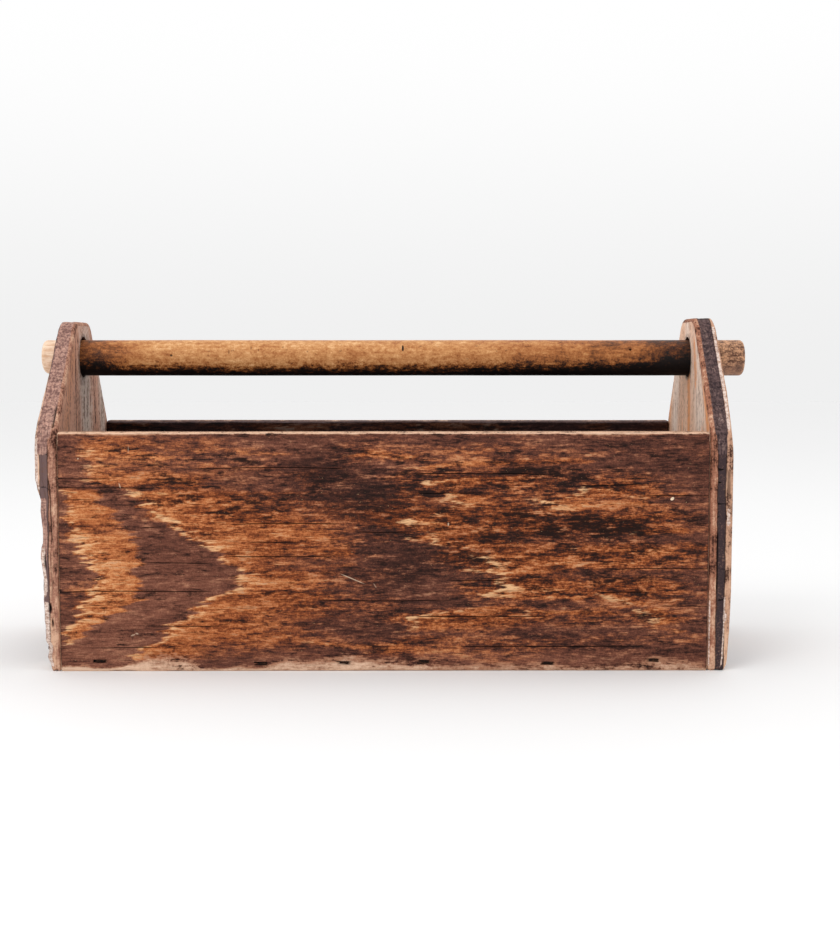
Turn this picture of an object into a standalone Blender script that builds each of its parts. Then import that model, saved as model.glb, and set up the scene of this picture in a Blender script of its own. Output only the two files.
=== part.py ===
"""An open carpenter's toolbox: two tall plywood ends, two low plywood sides and a floor, held with
sunk wire staples, and a round wooden bar through both ends to carry it by.

Metres, +Z up. The box is centred on X and Y and stands on Z = 0; its front faces -Y.
"""

import math

import bmesh
import bpy
from mathutils import Matrix, Vector

# Driving dimensions of the box
INNER_LENGTH = 0.500
DEPTH = 0.200
SIDE_HEIGHT = 0.185
LEFT_END_HEIGHT = 0.270
RIGHT_END_HEIGHT = 0.273
END_PLY = 0.018
SIDE_PLY = 0.012
FLOOR_PLY = 0.012
PANEL_EDGE_ROUND = 0.0015

# Outline of an end: upright to the shoulder, then sloping in to a flat top
SHOULDER_HEIGHT = 0.182
TOP_HALF_WIDTH = 0.0273
SHOULDER_RADIUS = 0.040
TOP_CORNER_RADIUS = 0.022
FOOT_RADIUS = 0.003
OUTLINE_ARC_STEPS = 6

# Carrying bar, which lies in the bottom of its two larger holes
BAR_DIAMETER = 0.0292
BAR_HEIGHT = 0.2408
BAR_PAST_LEFT_END = 0.0134
BAR_PAST_RIGHT_END = 0.0265
BAR_END_ROUND = 0.003
BAR_HOLE_DIAMETER = 0.0314
HOLE_CUTTER_OVERSHOOT = 0.010
BAR_SIDES = 48

# Wire staples, driven until the crown is below the surface
CROWN_WIDTH = 0.0102
WIRE_THICKNESS = 0.0014
WIRE_WIDTH = 0.0016
LEG_LENGTH = 0.030
TIP_LENGTH = 0.002
CROWN_SUNK = 0.0018
CROWN_CORNER_RADIUS = 0.0016
CROWN_CORNER_STEPS = 3
SLOT_OVERSHOOT = 0.004

# Meshes that touch keep this gap
GAP = 0.0003
WELD_DISTANCE = 1e-6

# Corners sharper than this are bevelled, and edges sharper than this are shaded sharp
BEVEL_ANGLE = math.radians(50)
SHARP_ANGLE = math.radians(30)

HALF_LENGTH = INNER_LENGTH / 2
HALF_DEPTH = DEPTH / 2
END_FACE = HALF_LENGTH + END_PLY
SIDE_MIDDLE = HALF_DEPTH - SIDE_PLY / 2
FLOOR_MIDDLE = FLOOR_PLY / 2

# Distance along X and height of each staple that holds a side to the floor
FRONT_FLOOR_STAPLES = (
    (-0.2190, 0.0080),
    (-0.0950, 0.0056),
    (-0.0306, 0.0064),
    (0.0304, 0.0076),
    (0.1264, 0.0060),
    (0.2073, 0.0080),
)
REAR_FLOOR_STAPLES = (
    (-0.2120, 0.0062),
    (-0.1310, 0.0074),
    (-0.0420, 0.0058),
    (0.0510, 0.0066),
    (0.1380, 0.0080),
    (0.2160, 0.0060),
)
# Height of each staple that holds an end to a side, and place along Y of each that holds it to the floor
END_SIDE_STAPLES = (0.028, 0.092, 0.158)
END_FLOOR_STAPLES = (-0.040, 0.042)
# Staples lost from the left end's front edge, where its outer layer has split away: the lowest two
LOST_STAPLES = ("staple_left_front_1", "staple_left_front_2")


def clear_scene():
    for obj in list(bpy.data.objects):
        bpy.data.objects.remove(obj)


def collection(name):
    made = bpy.data.collections.new(name)
    bpy.context.scene.collection.children.link(made)
    return made


def material(name, colour, roughness, metallic=0.0):
    made = bpy.data.materials.new(name)
    made.use_nodes = True
    shader = made.node_tree.nodes["Principled BSDF"]
    shader.inputs["Base Color"].default_value = (*colour, 1.0)
    shader.inputs["Roughness"].default_value = roughness
    shader.inputs["Metallic"].default_value = metallic
    return made


def add_object(name, data, target, finish=None):
    obj = bpy.data.objects.new(name, data)
    target.objects.link(obj)
    if finish:
        data.materials.append(finish)
    return obj


def fillet(corner, before, after, radius, steps):
    """Points of the arc that rounds one corner of an outline."""
    to_before = (before - corner).normalized()
    to_after = (after - corner).normalized()
    half_angle = to_before.angle(to_after) / 2
    centre = corner + (to_before + to_after).normalized() * radius / math.sin(half_angle)
    reach = radius / math.tan(half_angle)
    start = corner + to_before * reach - centre
    end = corner + to_after * reach - centre
    return [centre + radius * start.slerp(end, step / steps) for step in range(steps + 1)]


def rounded_outline(corners, steps):
    """Outline through (point, radius) corners; a radius of 0 leaves a sharp corner."""
    outline = []
    for index, (point, radius) in enumerate(corners):
        corner = Vector(point)
        before = Vector(corners[index - 1][0])
        after = Vector(corners[(index + 1) % len(corners)][0])
        if radius:
            outline += fillet(corner, before, after, radius, steps)
        else:
            outline.append(corner)
    return outline


def flat_outline_object(name, outline, thickness, target):
    """The outline as a 2D curve, filled and extruded by half the thickness each way."""
    curve = bpy.data.curves.new(name, "CURVE")
    curve.dimensions = "2D"
    curve.fill_mode = "BOTH"
    curve.extrude = thickness / 2
    spline = curve.splines.new("POLY")
    spline.points.add(len(outline) - 1)
    for point, place in zip(spline.points, outline):
        point.co = (place.x, place.y, 0.0, 1.0)
    spline.use_cyclic_u = True
    return add_object(name, curve, target)


def curve_to_mesh(curve_object, target):
    """A welded mesh object in the place of a curve object, which is removed."""
    name = curve_object.name
    bpy.context.view_layer.update()
    graph = bpy.context.evaluated_depsgraph_get()
    mesh = bpy.data.meshes.new_from_object(curve_object.evaluated_get(graph))
    matrix = curve_object.matrix_world.copy()
    bpy.data.objects.remove(curve_object)
    shape = bmesh.new()
    shape.from_mesh(mesh)
    bmesh.ops.remove_doubles(shape, verts=shape.verts, dist=WELD_DISTANCE)
    bmesh.ops.recalc_face_normals(shape, faces=shape.faces)
    shape.to_mesh(mesh)
    shape.free()
    mesh.name = name
    obj = add_object(name, mesh, target)
    obj.matrix_world = matrix
    return obj


def round_edges(obj, width, segments=2):
    bevel = obj.modifiers.new("rounded_edges", "BEVEL")
    bevel.width = width
    bevel.segments = segments
    bevel.limit_method = "ANGLE"
    bevel.angle_limit = BEVEL_ANGLE


def cut(obj, cutter):
    boolean = obj.modifiers.new("cut_by_" + cutter.name, "BOOLEAN")
    boolean.operation = "DIFFERENCE"
    boolean.solver = "EXACT"
    boolean.object = cutter


def make_cutter(obj):
    obj.hide_render = True
    obj.display_type = "WIRE"


def board(name, low, high, target, finish):
    """A flat board between two corners, with its scale in the mesh and its origin at its centre."""
    low = Vector(low)
    high = Vector(high)
    mesh = bpy.data.meshes.new(name)
    shape = bmesh.new()
    bmesh.ops.create_cube(shape, size=1.0)
    bmesh.ops.scale(shape, vec=high - low, verts=shape.verts)
    shape.to_mesh(mesh)
    shape.free()
    obj = add_object(name, mesh, target, finish)
    obj.location = (low + high) / 2
    round_edges(obj, PANEL_EDGE_ROUND)
    return obj


def mirrored_outline(half, steps):
    """Outline from the corners of its half at negative X, whose mirror image closes it."""
    other_half = [((-x, y), radius) for (x, y), radius in reversed(half)]
    return rounded_outline(half + other_half, steps)


def end_outline(height):
    """Outline of an end, with its X towards the rear and its Y upwards."""
    front_half = [
        ((-HALF_DEPTH, 0.0), FOOT_RADIUS),
        ((-HALF_DEPTH, SHOULDER_HEIGHT), SHOULDER_RADIUS),
        ((-TOP_HALF_WIDTH, height), TOP_CORNER_RADIUS),
    ]
    return mirrored_outline(front_half, OUTLINE_ARC_STEPS)


def end_panel(name, middle_x, height, target, finish):
    """One end, standing across X: the outline's own X and Y become the world's Y and Z."""
    obj = flat_outline_object(name, end_outline(height), END_PLY, target)
    stand_up = Matrix(((0, 0, 1), (1, 0, 0), (0, 1, 0))).to_4x4()
    obj.matrix_world = Matrix.Translation((middle_x, 0.0, 0.0)) @ stand_up
    obj = curve_to_mesh(obj, target)
    obj.data.materials.append(finish)
    round_edges(obj, PANEL_EDGE_ROUND)
    return obj


def cylinder_along_x(name, radius, length, sides, target, finish=None):
    mesh = bpy.data.meshes.new(name)
    shape = bmesh.new()
    bmesh.ops.create_cone(
        shape,
        cap_ends=True,
        segments=sides,
        radius1=radius,
        radius2=radius,
        depth=length,
        matrix=Matrix.Rotation(math.pi / 2, 4, "Y"),
    )
    shape.to_mesh(mesh)
    shape.free()
    return add_object(name, mesh, target, finish)


def carrying_bar(target, finish):
    left = -END_FACE - BAR_PAST_LEFT_END
    right = END_FACE + BAR_PAST_RIGHT_END
    obj = cylinder_along_x("carrying_bar", BAR_DIAMETER / 2, right - left, BAR_SIDES, target, finish)
    obj.location = ((left + right) / 2, 0.0, BAR_HEIGHT)
    round_edges(obj, BAR_END_ROUND)
    obj.data.shade_smooth()
    obj.data.set_sharp_from_angle(angle=SHARP_ANGLE)
    return obj


def bar_hole_cutter(target):
    """Both holes in one cutter. Their centres lie above the bar's, because it rests on their bottoms."""
    flat_radius = BAR_HOLE_DIAMETER / 2 * math.cos(math.pi / BAR_SIDES)
    rise = flat_radius - BAR_DIAMETER / 2 - GAP
    obj = cylinder_along_x("bar_hole_cutter", BAR_HOLE_DIAMETER / 2, 2 * (END_FACE + HOLE_CUTTER_OVERSHOOT), BAR_SIDES, target)
    obj.location = (0.0, 0.0, BAR_HEIGHT + rise)
    make_cutter(obj)
    return obj


def staple_outline(clearance, crown_reach):
    """A staple's U in its own plane: legs along +Y with the crown's outside at Y = -crown_reach."""
    outer = CROWN_WIDTH / 2 + clearance
    inner = CROWN_WIDTH / 2 - WIRE_THICKNESS - clearance
    tip = LEG_LENGTH + clearance
    half = [
        ((-inner, WIRE_THICKNESS + clearance), 0.0),
        ((-inner, tip - TIP_LENGTH), 0.0),
        ((-(outer + inner) / 2, tip), 0.0),
        ((-outer, tip - TIP_LENGTH), 0.0),
        ((-outer, -crown_reach), 0.0 if clearance else CROWN_CORNER_RADIUS),
    ]
    return mirrored_outline(half, CROWN_CORNER_STEPS)


def staple_matrix(face_point, inward, crown_along):
    """Places a staple's plane: its X along the crown, its Y into the wood, the crown below the face."""
    inward = Vector(inward)
    crown_along = Vector(crown_along)
    rotation = Matrix((crown_along, inward, crown_along.cross(inward))).transposed().to_4x4()
    return Matrix.Translation(Vector(face_point) + inward * CROWN_SUNK) @ rotation


def staple_places():
    """Name and placement of every staple."""
    places = []
    for side, y_sign, staples in (("front", -1, FRONT_FLOOR_STAPLES), ("rear", 1, REAR_FLOOR_STAPLES)):
        for number, (x, z) in enumerate(staples, 1):
            matrix = staple_matrix((x, y_sign * HALF_DEPTH, z), (0, -y_sign, 0), (1, 0, 0))
            places.append((f"staple_{side}_floor_{number}", matrix))
    for end, x_sign in (("left", -1), ("right", 1)):
        for side, y_sign in (("front", -1), ("rear", 1)):
            for number, z in enumerate(END_SIDE_STAPLES, 1):
                face_point = (x_sign * END_FACE, y_sign * SIDE_MIDDLE, z)
                matrix = staple_matrix(face_point, (-x_sign, 0, 0), (0, 0, 1))
                places.append((f"staple_{end}_{side}_{number}", matrix))
        for number, y in enumerate(END_FLOOR_STAPLES, 1):
            matrix = staple_matrix((x_sign * END_FACE, y, FLOOR_MIDDLE), (-x_sign, 0, 0), (0, 1, 0))
            places.append((f"staple_{end}_floor_{number}", matrix))
    return [(name, matrix) for name, matrix in places if name not in LOST_STAPLES]


def make_staples(target, finish):
    outline = staple_outline(0.0, 0.0)
    for name, matrix in staple_places():
        obj = flat_outline_object(name, outline, WIRE_WIDTH, target)
        obj.data.materials.append(finish)
        obj.matrix_world = matrix


def staple_cutter(target):
    """One mesh with the clearance of every staple: room round its wire, and a slot out to the face."""
    outline = staple_outline(GAP, CROWN_SUNK + SLOT_OVERSHOOT)
    joined = bmesh.new()
    for name, matrix in staple_places():
        obj = flat_outline_object(name + "_slot", outline, WIRE_WIDTH + 2 * GAP, target)
        obj.matrix_world = matrix
        obj = curve_to_mesh(obj, target)
        obj.data.transform(obj.matrix_world)
        joined.from_mesh(obj.data)
        bpy.data.objects.remove(obj)
    bmesh.ops.recalc_face_normals(joined, faces=joined.faces)
    mesh = bpy.data.meshes.new("staple_cutter")
    joined.to_mesh(mesh)
    joined.free()
    obj = add_object("staple_cutter", mesh, target)
    make_cutter(obj)
    return obj


def main():
    clear_scene()
    parts = collection("carpenter_toolbox")
    cutters = collection("cutters")
    side_wood = material("stained_side_plywood", (0.150, 0.055, 0.026), 0.62)
    end_wood = material("weathered_end_plywood", (0.230, 0.120, 0.075), 0.75)
    bar_wood = material("handled_bar_wood", (0.420, 0.220, 0.085), 0.50)
    steel = material("staple_steel", (0.150, 0.130, 0.120), 0.55, metallic=1.0)

    slots = staple_cutter(cutters)
    holes = bar_hole_cutter(cutters)
    panel_x = HALF_LENGTH - GAP
    floor_y = HALF_DEPTH - SIDE_PLY - GAP
    panels = [
        board("front_side", (-panel_x, -HALF_DEPTH, 0.0),
              (panel_x, -HALF_DEPTH + SIDE_PLY, SIDE_HEIGHT), parts, side_wood),
        board("rear_side", (-panel_x, HALF_DEPTH - SIDE_PLY, 0.0),
              (panel_x, HALF_DEPTH, SIDE_HEIGHT), parts, side_wood),
        board("floor_board", (-panel_x, -floor_y, 0.0), (panel_x, floor_y, FLOOR_PLY), parts, side_wood),
    ]
    for name, x_sign, height in (("left_end", -1, LEFT_END_HEIGHT), ("right_end", 1, RIGHT_END_HEIGHT)):
        panel = end_panel(name, x_sign * (HALF_LENGTH + END_PLY / 2), height, parts, end_wood)
        cut(panel, holes)
        panels.append(panel)
    for panel in panels:
        cut(panel, slots)
    carrying_bar(parts, bar_wood)
    make_staples(parts, steel)


main()
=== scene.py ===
"""The looks of the carpenter's toolbox: stained and worn plywood, a hand-polished bar and tarnished
staples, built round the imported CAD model. Metres; the grain of a side runs along X, of an end along Z.
"""

import itertools
import math

import bpy
import numpy as np
from mathutils import Euler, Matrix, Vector


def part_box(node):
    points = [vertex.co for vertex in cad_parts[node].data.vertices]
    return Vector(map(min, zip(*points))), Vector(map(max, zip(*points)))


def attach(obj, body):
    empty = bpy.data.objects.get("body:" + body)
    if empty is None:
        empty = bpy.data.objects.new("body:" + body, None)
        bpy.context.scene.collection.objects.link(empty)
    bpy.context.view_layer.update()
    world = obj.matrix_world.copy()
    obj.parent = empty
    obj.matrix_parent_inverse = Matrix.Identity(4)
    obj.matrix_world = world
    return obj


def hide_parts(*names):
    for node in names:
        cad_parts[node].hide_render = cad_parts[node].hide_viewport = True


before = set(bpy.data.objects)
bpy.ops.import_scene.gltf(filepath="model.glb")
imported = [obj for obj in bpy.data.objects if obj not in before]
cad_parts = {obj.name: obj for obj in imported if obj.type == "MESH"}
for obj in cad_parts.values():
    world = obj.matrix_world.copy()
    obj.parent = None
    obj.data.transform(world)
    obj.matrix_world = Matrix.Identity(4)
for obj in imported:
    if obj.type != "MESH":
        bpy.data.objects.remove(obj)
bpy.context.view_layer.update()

MM = 0.001

# Plywood: thickness of each of an end's three layers and of a side's
END_LAYER = 6 * MM
SIDE_LAYER = 4 * MM
SMALL_ROUND = 0.8 * MM

# Lines of mesh beside an edge and across a crack, and how deep and wide a crack is
EDGE_LINES = np.array([0.0, 0.3, 0.7, 1.2, 1.9, 2.8, 4.0, 6.0]) * MM
CRACK_LINES = np.array([-0.90, -0.40, -0.16, 0.16, 0.40, 0.90]) * MM
CRACK_DEPTH = 1.1 * MM
CRACK_HALF_WIDTH = 0.40 * MM
# Length, in millimetres, over which a crack closes
CRACK_TAPER = 14

# A staple's slot, torn a little wider than its wire
SLOT_HALF_WIDTH = 5.5 * MM
SLOT_HALF_HEIGHT = 1.35 * MM
SLOT_DEPTH = 2.6 * MM
SLOT_WALL = 0.25 * MM

# Whole numbers that scatter the cells of the noise, one for each axis, then for the seed and the mix
CELL_HASH = np.array([73856093, 19349663, 83492791])
SEED_HASH = 2654435761
MIX_HASH = 1274126177


# ---- Numbers that vary smoothly -------------------------------------------------------------------


def smooth_noise(points, seed):
    """Noise from -1 to 1 that varies smoothly over about one unit, at each row of points."""
    base = np.floor(points).astype(np.int64)
    part = points - base
    fade = part * part * (3 - 2 * part)
    total = np.zeros(len(points))
    for corner in itertools.product((0, 1), repeat=3):
        cell = base + corner
        mixed = np.bitwise_xor.reduce(cell * CELL_HASH, axis=1) ^ (seed * SEED_HASH)
        mixed = (mixed ^ (mixed >> 13)) * MIX_HASH & 0xFFFFFFFF
        value = ((mixed ^ (mixed >> 16)) & 0xFFFF) / 32767.5 - 1
        weight = np.prod(np.where(corner, fade, 1 - fade), axis=1)
        total += weight * value
    return total


def layered_noise(points, wavelengths, seed, octaves=3):
    """Noise from about -1 to 1, with one wavelength for each axis and finer detail in each octave."""
    scaled = points / np.asarray(wavelengths)
    total = np.zeros(len(points))
    for octave in range(octaves):
        total += smooth_noise(scaled * 2**octave, seed + octave) / 2**octave
    return total / 1.5


def smoothstep(value, low, high):
    part = np.clip((value - low) / (high - low), 0, 1)
    return part * part * (3 - 2 * part)


def through(x, points):
    """Value at x of the line through (x, value) points, all in millimetres."""
    places, values = np.transpose(points)
    return np.interp(x / MM, places, values) * MM


# ---- Meshes ---------------------------------------------------------------------------------------


def mesh_lines(low, high, step, marks=(), spread=(0.0,)):
    """Coordinates of mesh lines: an even step, closer beside both ends and round each mark."""
    even = np.linspace(low, high, round((high - low) / step) + 1)
    even = even[(even > low + EDGE_LINES[-1]) & (even < high - EDGE_LINES[-1])]
    spread = np.asarray(spread)
    for mark in marks:
        even = even[np.abs(even - mark) > spread.max() * 1.3]
    near_marks = (np.reshape(marks, (-1, 1)) + spread).ravel() if len(marks) else []
    lines = np.concatenate([low + EDGE_LINES, even, near_marks, high - EDGE_LINES])
    lines = np.unique(lines[(lines >= low) & (lines <= high)])
    return lines[np.concatenate([[True], np.diff(lines) > 0.04 * MM])]


def quads_of(sheet, turned, keep=None):
    """The quads between the points numbered in a sheet."""
    quads = np.stack([sheet[:-1, :-1], sheet[1:, :-1], sheet[1:, 1:], sheet[:-1, 1:]], axis=-1)
    quads = quads.reshape(-1, 4) if keep is None else quads[keep]
    return quads[:, ::-1] if turned else quads


def box_shell(lines, hole=None):
    """Points on the surface of a box of mesh lines, and the faces of each of its sides, which look
    outwards. A hole, the numbers of its first and last lines on the second and on the third axis, is
    a square tunnel along the first axis, and its wall is one side more."""
    sizes = [len(line) for line in lines]
    used = np.zeros(sizes, bool)
    used[[0, -1]] = True
    used[:, [0, -1]] = True
    used[:, :, [0, -1]] = True
    solid = None
    if hole:
        (first_column, last_column), (first_row, last_row) = hole
        within = np.zeros(sizes[1:], bool)
        within[first_column : last_column + 1, first_row : last_row + 1] = True
        inside = np.zeros(sizes[1:], bool)
        inside[first_column + 1 : last_column, first_row + 1 : last_row] = True
        used[:, within & ~inside] = True
        used[:, inside] = False
        solid = ~(within[:-1, :-1] & within[1:, :-1] & within[1:, 1:] & within[:-1, 1:])
    number = np.full(sizes, -1)
    number[used] = np.arange(used.sum())
    cells = np.argwhere(used)
    points = np.stack([lines[axis][cells[:, axis]] for axis in range(3)], axis=1)
    faces = [
        quads_of(number[0], True, solid),
        quads_of(number[-1], False, solid),
        quads_of(number[:, 0], False),
        quads_of(number[:, -1], True),
        quads_of(number[:, :, 0], True),
        quads_of(number[:, :, -1], False),
    ]
    if hole:
        loop = [(column, first_row) for column in range(first_column, last_column)]
        loop += [(last_column, row) for row in range(first_row, last_row)]
        loop += [(column, last_row) for column in range(last_column, first_column, -1)]
        loop += [(first_column, row) for row in range(last_row, first_row - 1, -1)]
        loop_columns, loop_rows = np.transpose(loop)
        faces.append(quads_of(number[:, loop_columns, loop_rows], True))
    return points, faces


def round_off(points, low, high, radius):
    """The points of a box's surface moved onto rounded edges, and the way each one looks."""
    radius = np.asarray(radius).reshape(-1, 1)
    inside = np.clip(points, low + radius, high - radius)
    out = points - inside
    length = np.linalg.norm(out, axis=1, keepdims=True)
    outward = out / np.maximum(length, 1e-9)
    return inside + outward * radius, outward


def put_in_scene(name, data):
    obj = bpy.data.objects.new(name, data)
    bpy.context.scene.collection.objects.link(obj)
    return obj


def round_drop(distance, radius):
    """How far a rounded edge has dropped below the flat, at each distance in from its end."""
    drop = radius - np.sqrt(np.maximum(radius**2 - (radius - distance) ** 2, 0))
    return np.where(distance < radius, drop, 0)


def add_mesh(name, points, sides, materials, material_of_side, attributes):
    """A smooth mesh object. sides holds the faces of each side, and material_of_side which of the
    materials each side has."""
    mesh = bpy.data.meshes.new(name)
    mesh.from_pydata(points.tolist(), [], [face for side in sides for face in side.tolist()])
    for material in materials:
        mesh.materials.append(material)
    index = np.concatenate([np.full(len(side), kind) for side, kind in zip(sides, material_of_side)])
    mesh.polygons.foreach_set("material_index", index.astype(np.int32))
    for key, values in attributes.items():
        is_vector = np.ndim(values) == 2
        layer = mesh.attributes.new(key, "FLOAT_VECTOR" if is_vector else "FLOAT", "POINT")
        flat = np.asarray(values, np.float32).ravel()
        layer.data.foreach_set("vector" if is_vector else "value", flat)
    mesh.shade_smooth()
    return put_in_scene(name, mesh)


# ---- Shader nodes ---------------------------------------------------------------------------------


def linear(colour):
    """Linear colour of an 8-bit screen colour."""
    parts = [part / 255 for part in colour]
    parts = [part / 12.92 if part <= 0.04045 else ((part + 0.055) / 1.055) ** 2.4 for part in parts]
    return (*parts, 1.0)


# How far apart in the noise two textures of one material are, in its cycles
SEED_STEP = 3.7


class Graph:
    """The nodes of one Principled material. A socket, a number and an 8-bit screen colour can stand for
    each other. The weights and limits in the materials below were chosen: a texture averages a half, so a
    sum of textures takes off half its weights to vary about zero."""

    def __init__(self, name, grain="Z", metallic=0.0, specular=0.12):
        self.material = bpy.data.materials.new(name)
        self.material.use_nodes = True
        self.tree = self.material.node_tree
        self.shader = self.tree.nodes["Principled BSDF"]
        self.shader.inputs["Metallic"].default_value = metallic
        self.shader.inputs["Specular IOR Level"].default_value = specular
        self.place = self.node("ShaderNodeTexCoord").outputs["Object"]
        self.grain = grain
        self.seed = sum(map(ord, name)) % 97

    def node(self, kind, **settings):
        made = self.tree.nodes.new(kind)
        for key, value in settings.items():
            setattr(made, key, value)
        return made

    def plug(self, socket, value):
        if isinstance(value, bpy.types.NodeSocket):
            self.tree.links.new(value, socket)
        elif isinstance(value, tuple) and len(value) == 3:
            socket.default_value = linear(value)
        else:
            socket.default_value = value

    def math(self, operation, *values):
        made = self.node("ShaderNodeMath", operation=operation)
        for socket, value in zip(made.inputs, values):
            self.plug(socket, value)
        return made.outputs[0]

    def sum(self, *terms):
        """Sum of values, each alone or with its weight."""
        total = 0.0
        for term in terms:
            value, weight = term if isinstance(term, tuple) else (term, 1.0)
            total = self.math("MULTIPLY_ADD", value, weight, total)
        return total

    def product(self, *values):
        total = values[0]
        for value in values[1:]:
            total = self.math("MULTIPLY", total, value)
        return total

    def smooth(self, value, low, high, to_low=0.0, to_high=1.0):
        made = self.node("ShaderNodeMapRange", interpolation_type="SMOOTHSTEP")
        for socket, number in zip(made.inputs, (value, low, high, to_low, to_high)):
            self.plug(socket, number)
        return made.outputs[0]

    def texture(self, kind, frequencies, **settings):
        """A texture node, shifted so that no two show the same, at cycles per metre along each axis."""
        self.seed += SEED_STEP
        moved = self.node("ShaderNodeVectorMath", operation="MULTIPLY_ADD")
        self.plug(moved.inputs[0], self.place)
        moved.inputs[1].default_value = frequencies
        moved.inputs[2].default_value = (self.seed, self.seed * 0.7, -self.seed)
        made = self.node(kind, **settings)
        self.plug(made.inputs["Vector"], moved.outputs[0])
        made.inputs["Scale"].default_value = 1.0
        return made

    def noise(self, frequencies, detail=2, roughness=0.5, distortion=0.0):
        made = self.texture("ShaderNodeTexNoise", frequencies)
        made.inputs["Detail"].default_value = detail
        made.inputs["Roughness"].default_value = roughness
        made.inputs["Distortion"].default_value = distortion
        return made.outputs[0]

    def stretched(self, along, across):
        """Cycles per metre: one frequency along the grain's axis, one on the other two."""
        return [along if axis == self.grain else across for axis in "XYZ"]

    def streaks(self, along, across, detail=3, roughness=0.6, distortion=0.0):
        return self.noise(self.stretched(along, across), detail, roughness, distortion)

    def cell_edges(self, frequencies):
        """Distance to the nearest edge between cells."""
        made = self.texture("ShaderNodeTexVoronoi", frequencies, feature="DISTANCE_TO_EDGE")
        return made.outputs["Distance"]

    def axes(self, socket):
        made = self.node("ShaderNodeSeparateXYZ")
        self.plug(made.inputs[0], socket)
        return made.outputs

    def attribute(self, name, output="Fac"):
        return self.node("ShaderNodeAttribute", attribute_name=name).outputs[output]

    def mix(self, factor, first, second, blend="MIX"):
        made = self.node("ShaderNodeMix", data_type="RGBA", blend_type=blend, clamp_factor=True)
        self.plug(made.inputs["Factor"], factor)
        self.plug(made.inputs[6], first)
        self.plug(made.inputs[7], second)
        return made.outputs[2]

    def spot(self, x, z, half_length, half_height, slope, strength):
        """A faint-edged ellipse on a face that looks along Y, in millimetres: strength inside it."""
        here_x, _, here_z = self.axes(self.place)
        along = self.math("SUBTRACT", here_x, x * MM)
        above = self.sum(here_z, (along, -slope), -z * MM)
        squares = []
        for distance, half in ((along, half_length), (above, half_height)):
            share = self.math("ABSOLUTE", self.math("DIVIDE", distance, half * MM))
            squares.append(self.math("POWER", share, 2.0))
        return self.smooth(self.math("ADD", *squares), 1.3, 0.4, 0.0, strength)

    def ramp(self, value, *stops):
        made = self.node("ShaderNodeValToRGB")
        elements = made.color_ramp.elements
        while len(elements) < len(stops):
            elements.new(0.5)
        for element, (place, colour) in zip(elements, stops):
            element.position = place
            element.color = linear(colour)
        self.plug(made.inputs[0], value)
        return made.outputs[0]

    def finish(self, colour, roughness, height, relief):
        """Joins the shader: height is 0 to 1, relief is its depth in metres."""
        bump = self.node("ShaderNodeBump")
        bump.inputs["Distance"].default_value = relief
        self.plug(bump.inputs["Height"], height)
        self.plug(self.shader.inputs["Base Color"], colour)
        self.plug(self.shader.inputs["Roughness"], roughness)
        self.plug(self.shader.inputs["Normal"], bump.outputs[0])
        return self.material


# ---- Materials ------------------------------------------------------------------------------------

BLACKENED = (30, 15, 11)
PALE_WOOD = (232, 186, 138)
SPECK = (242, 216, 186)
# Painted shade inside the box, over a partly darker stain: linear factors that multiply the colour
INSIDE_SHADE = (0.19, 0.21, 0.31, 1.0)
BARE_WOOD = (232, 196, 168)
RUBBED_WOOD = (172, 122, 94)
# Colours from dark to light where the stain's film is whole, and where it is worn to the wood
FILM_STOPS = (
    (0.00, (34, 19, 16)), (0.22, (64, 36, 29)), (0.42, (99, 58, 45)),
    (0.62, (130, 82, 64)), (0.82, (168, 116, 90)), (1.00, (208, 158, 124)),
)
WORN_STOPS = (
    (0.00, (40, 20, 13)), (0.20, (80, 39, 22)), (0.40, (124, 62, 32)),
    (0.62, (178, 104, 60)), (0.82, (207, 140, 90)), (1.00, (230, 178, 130)),
)


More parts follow.
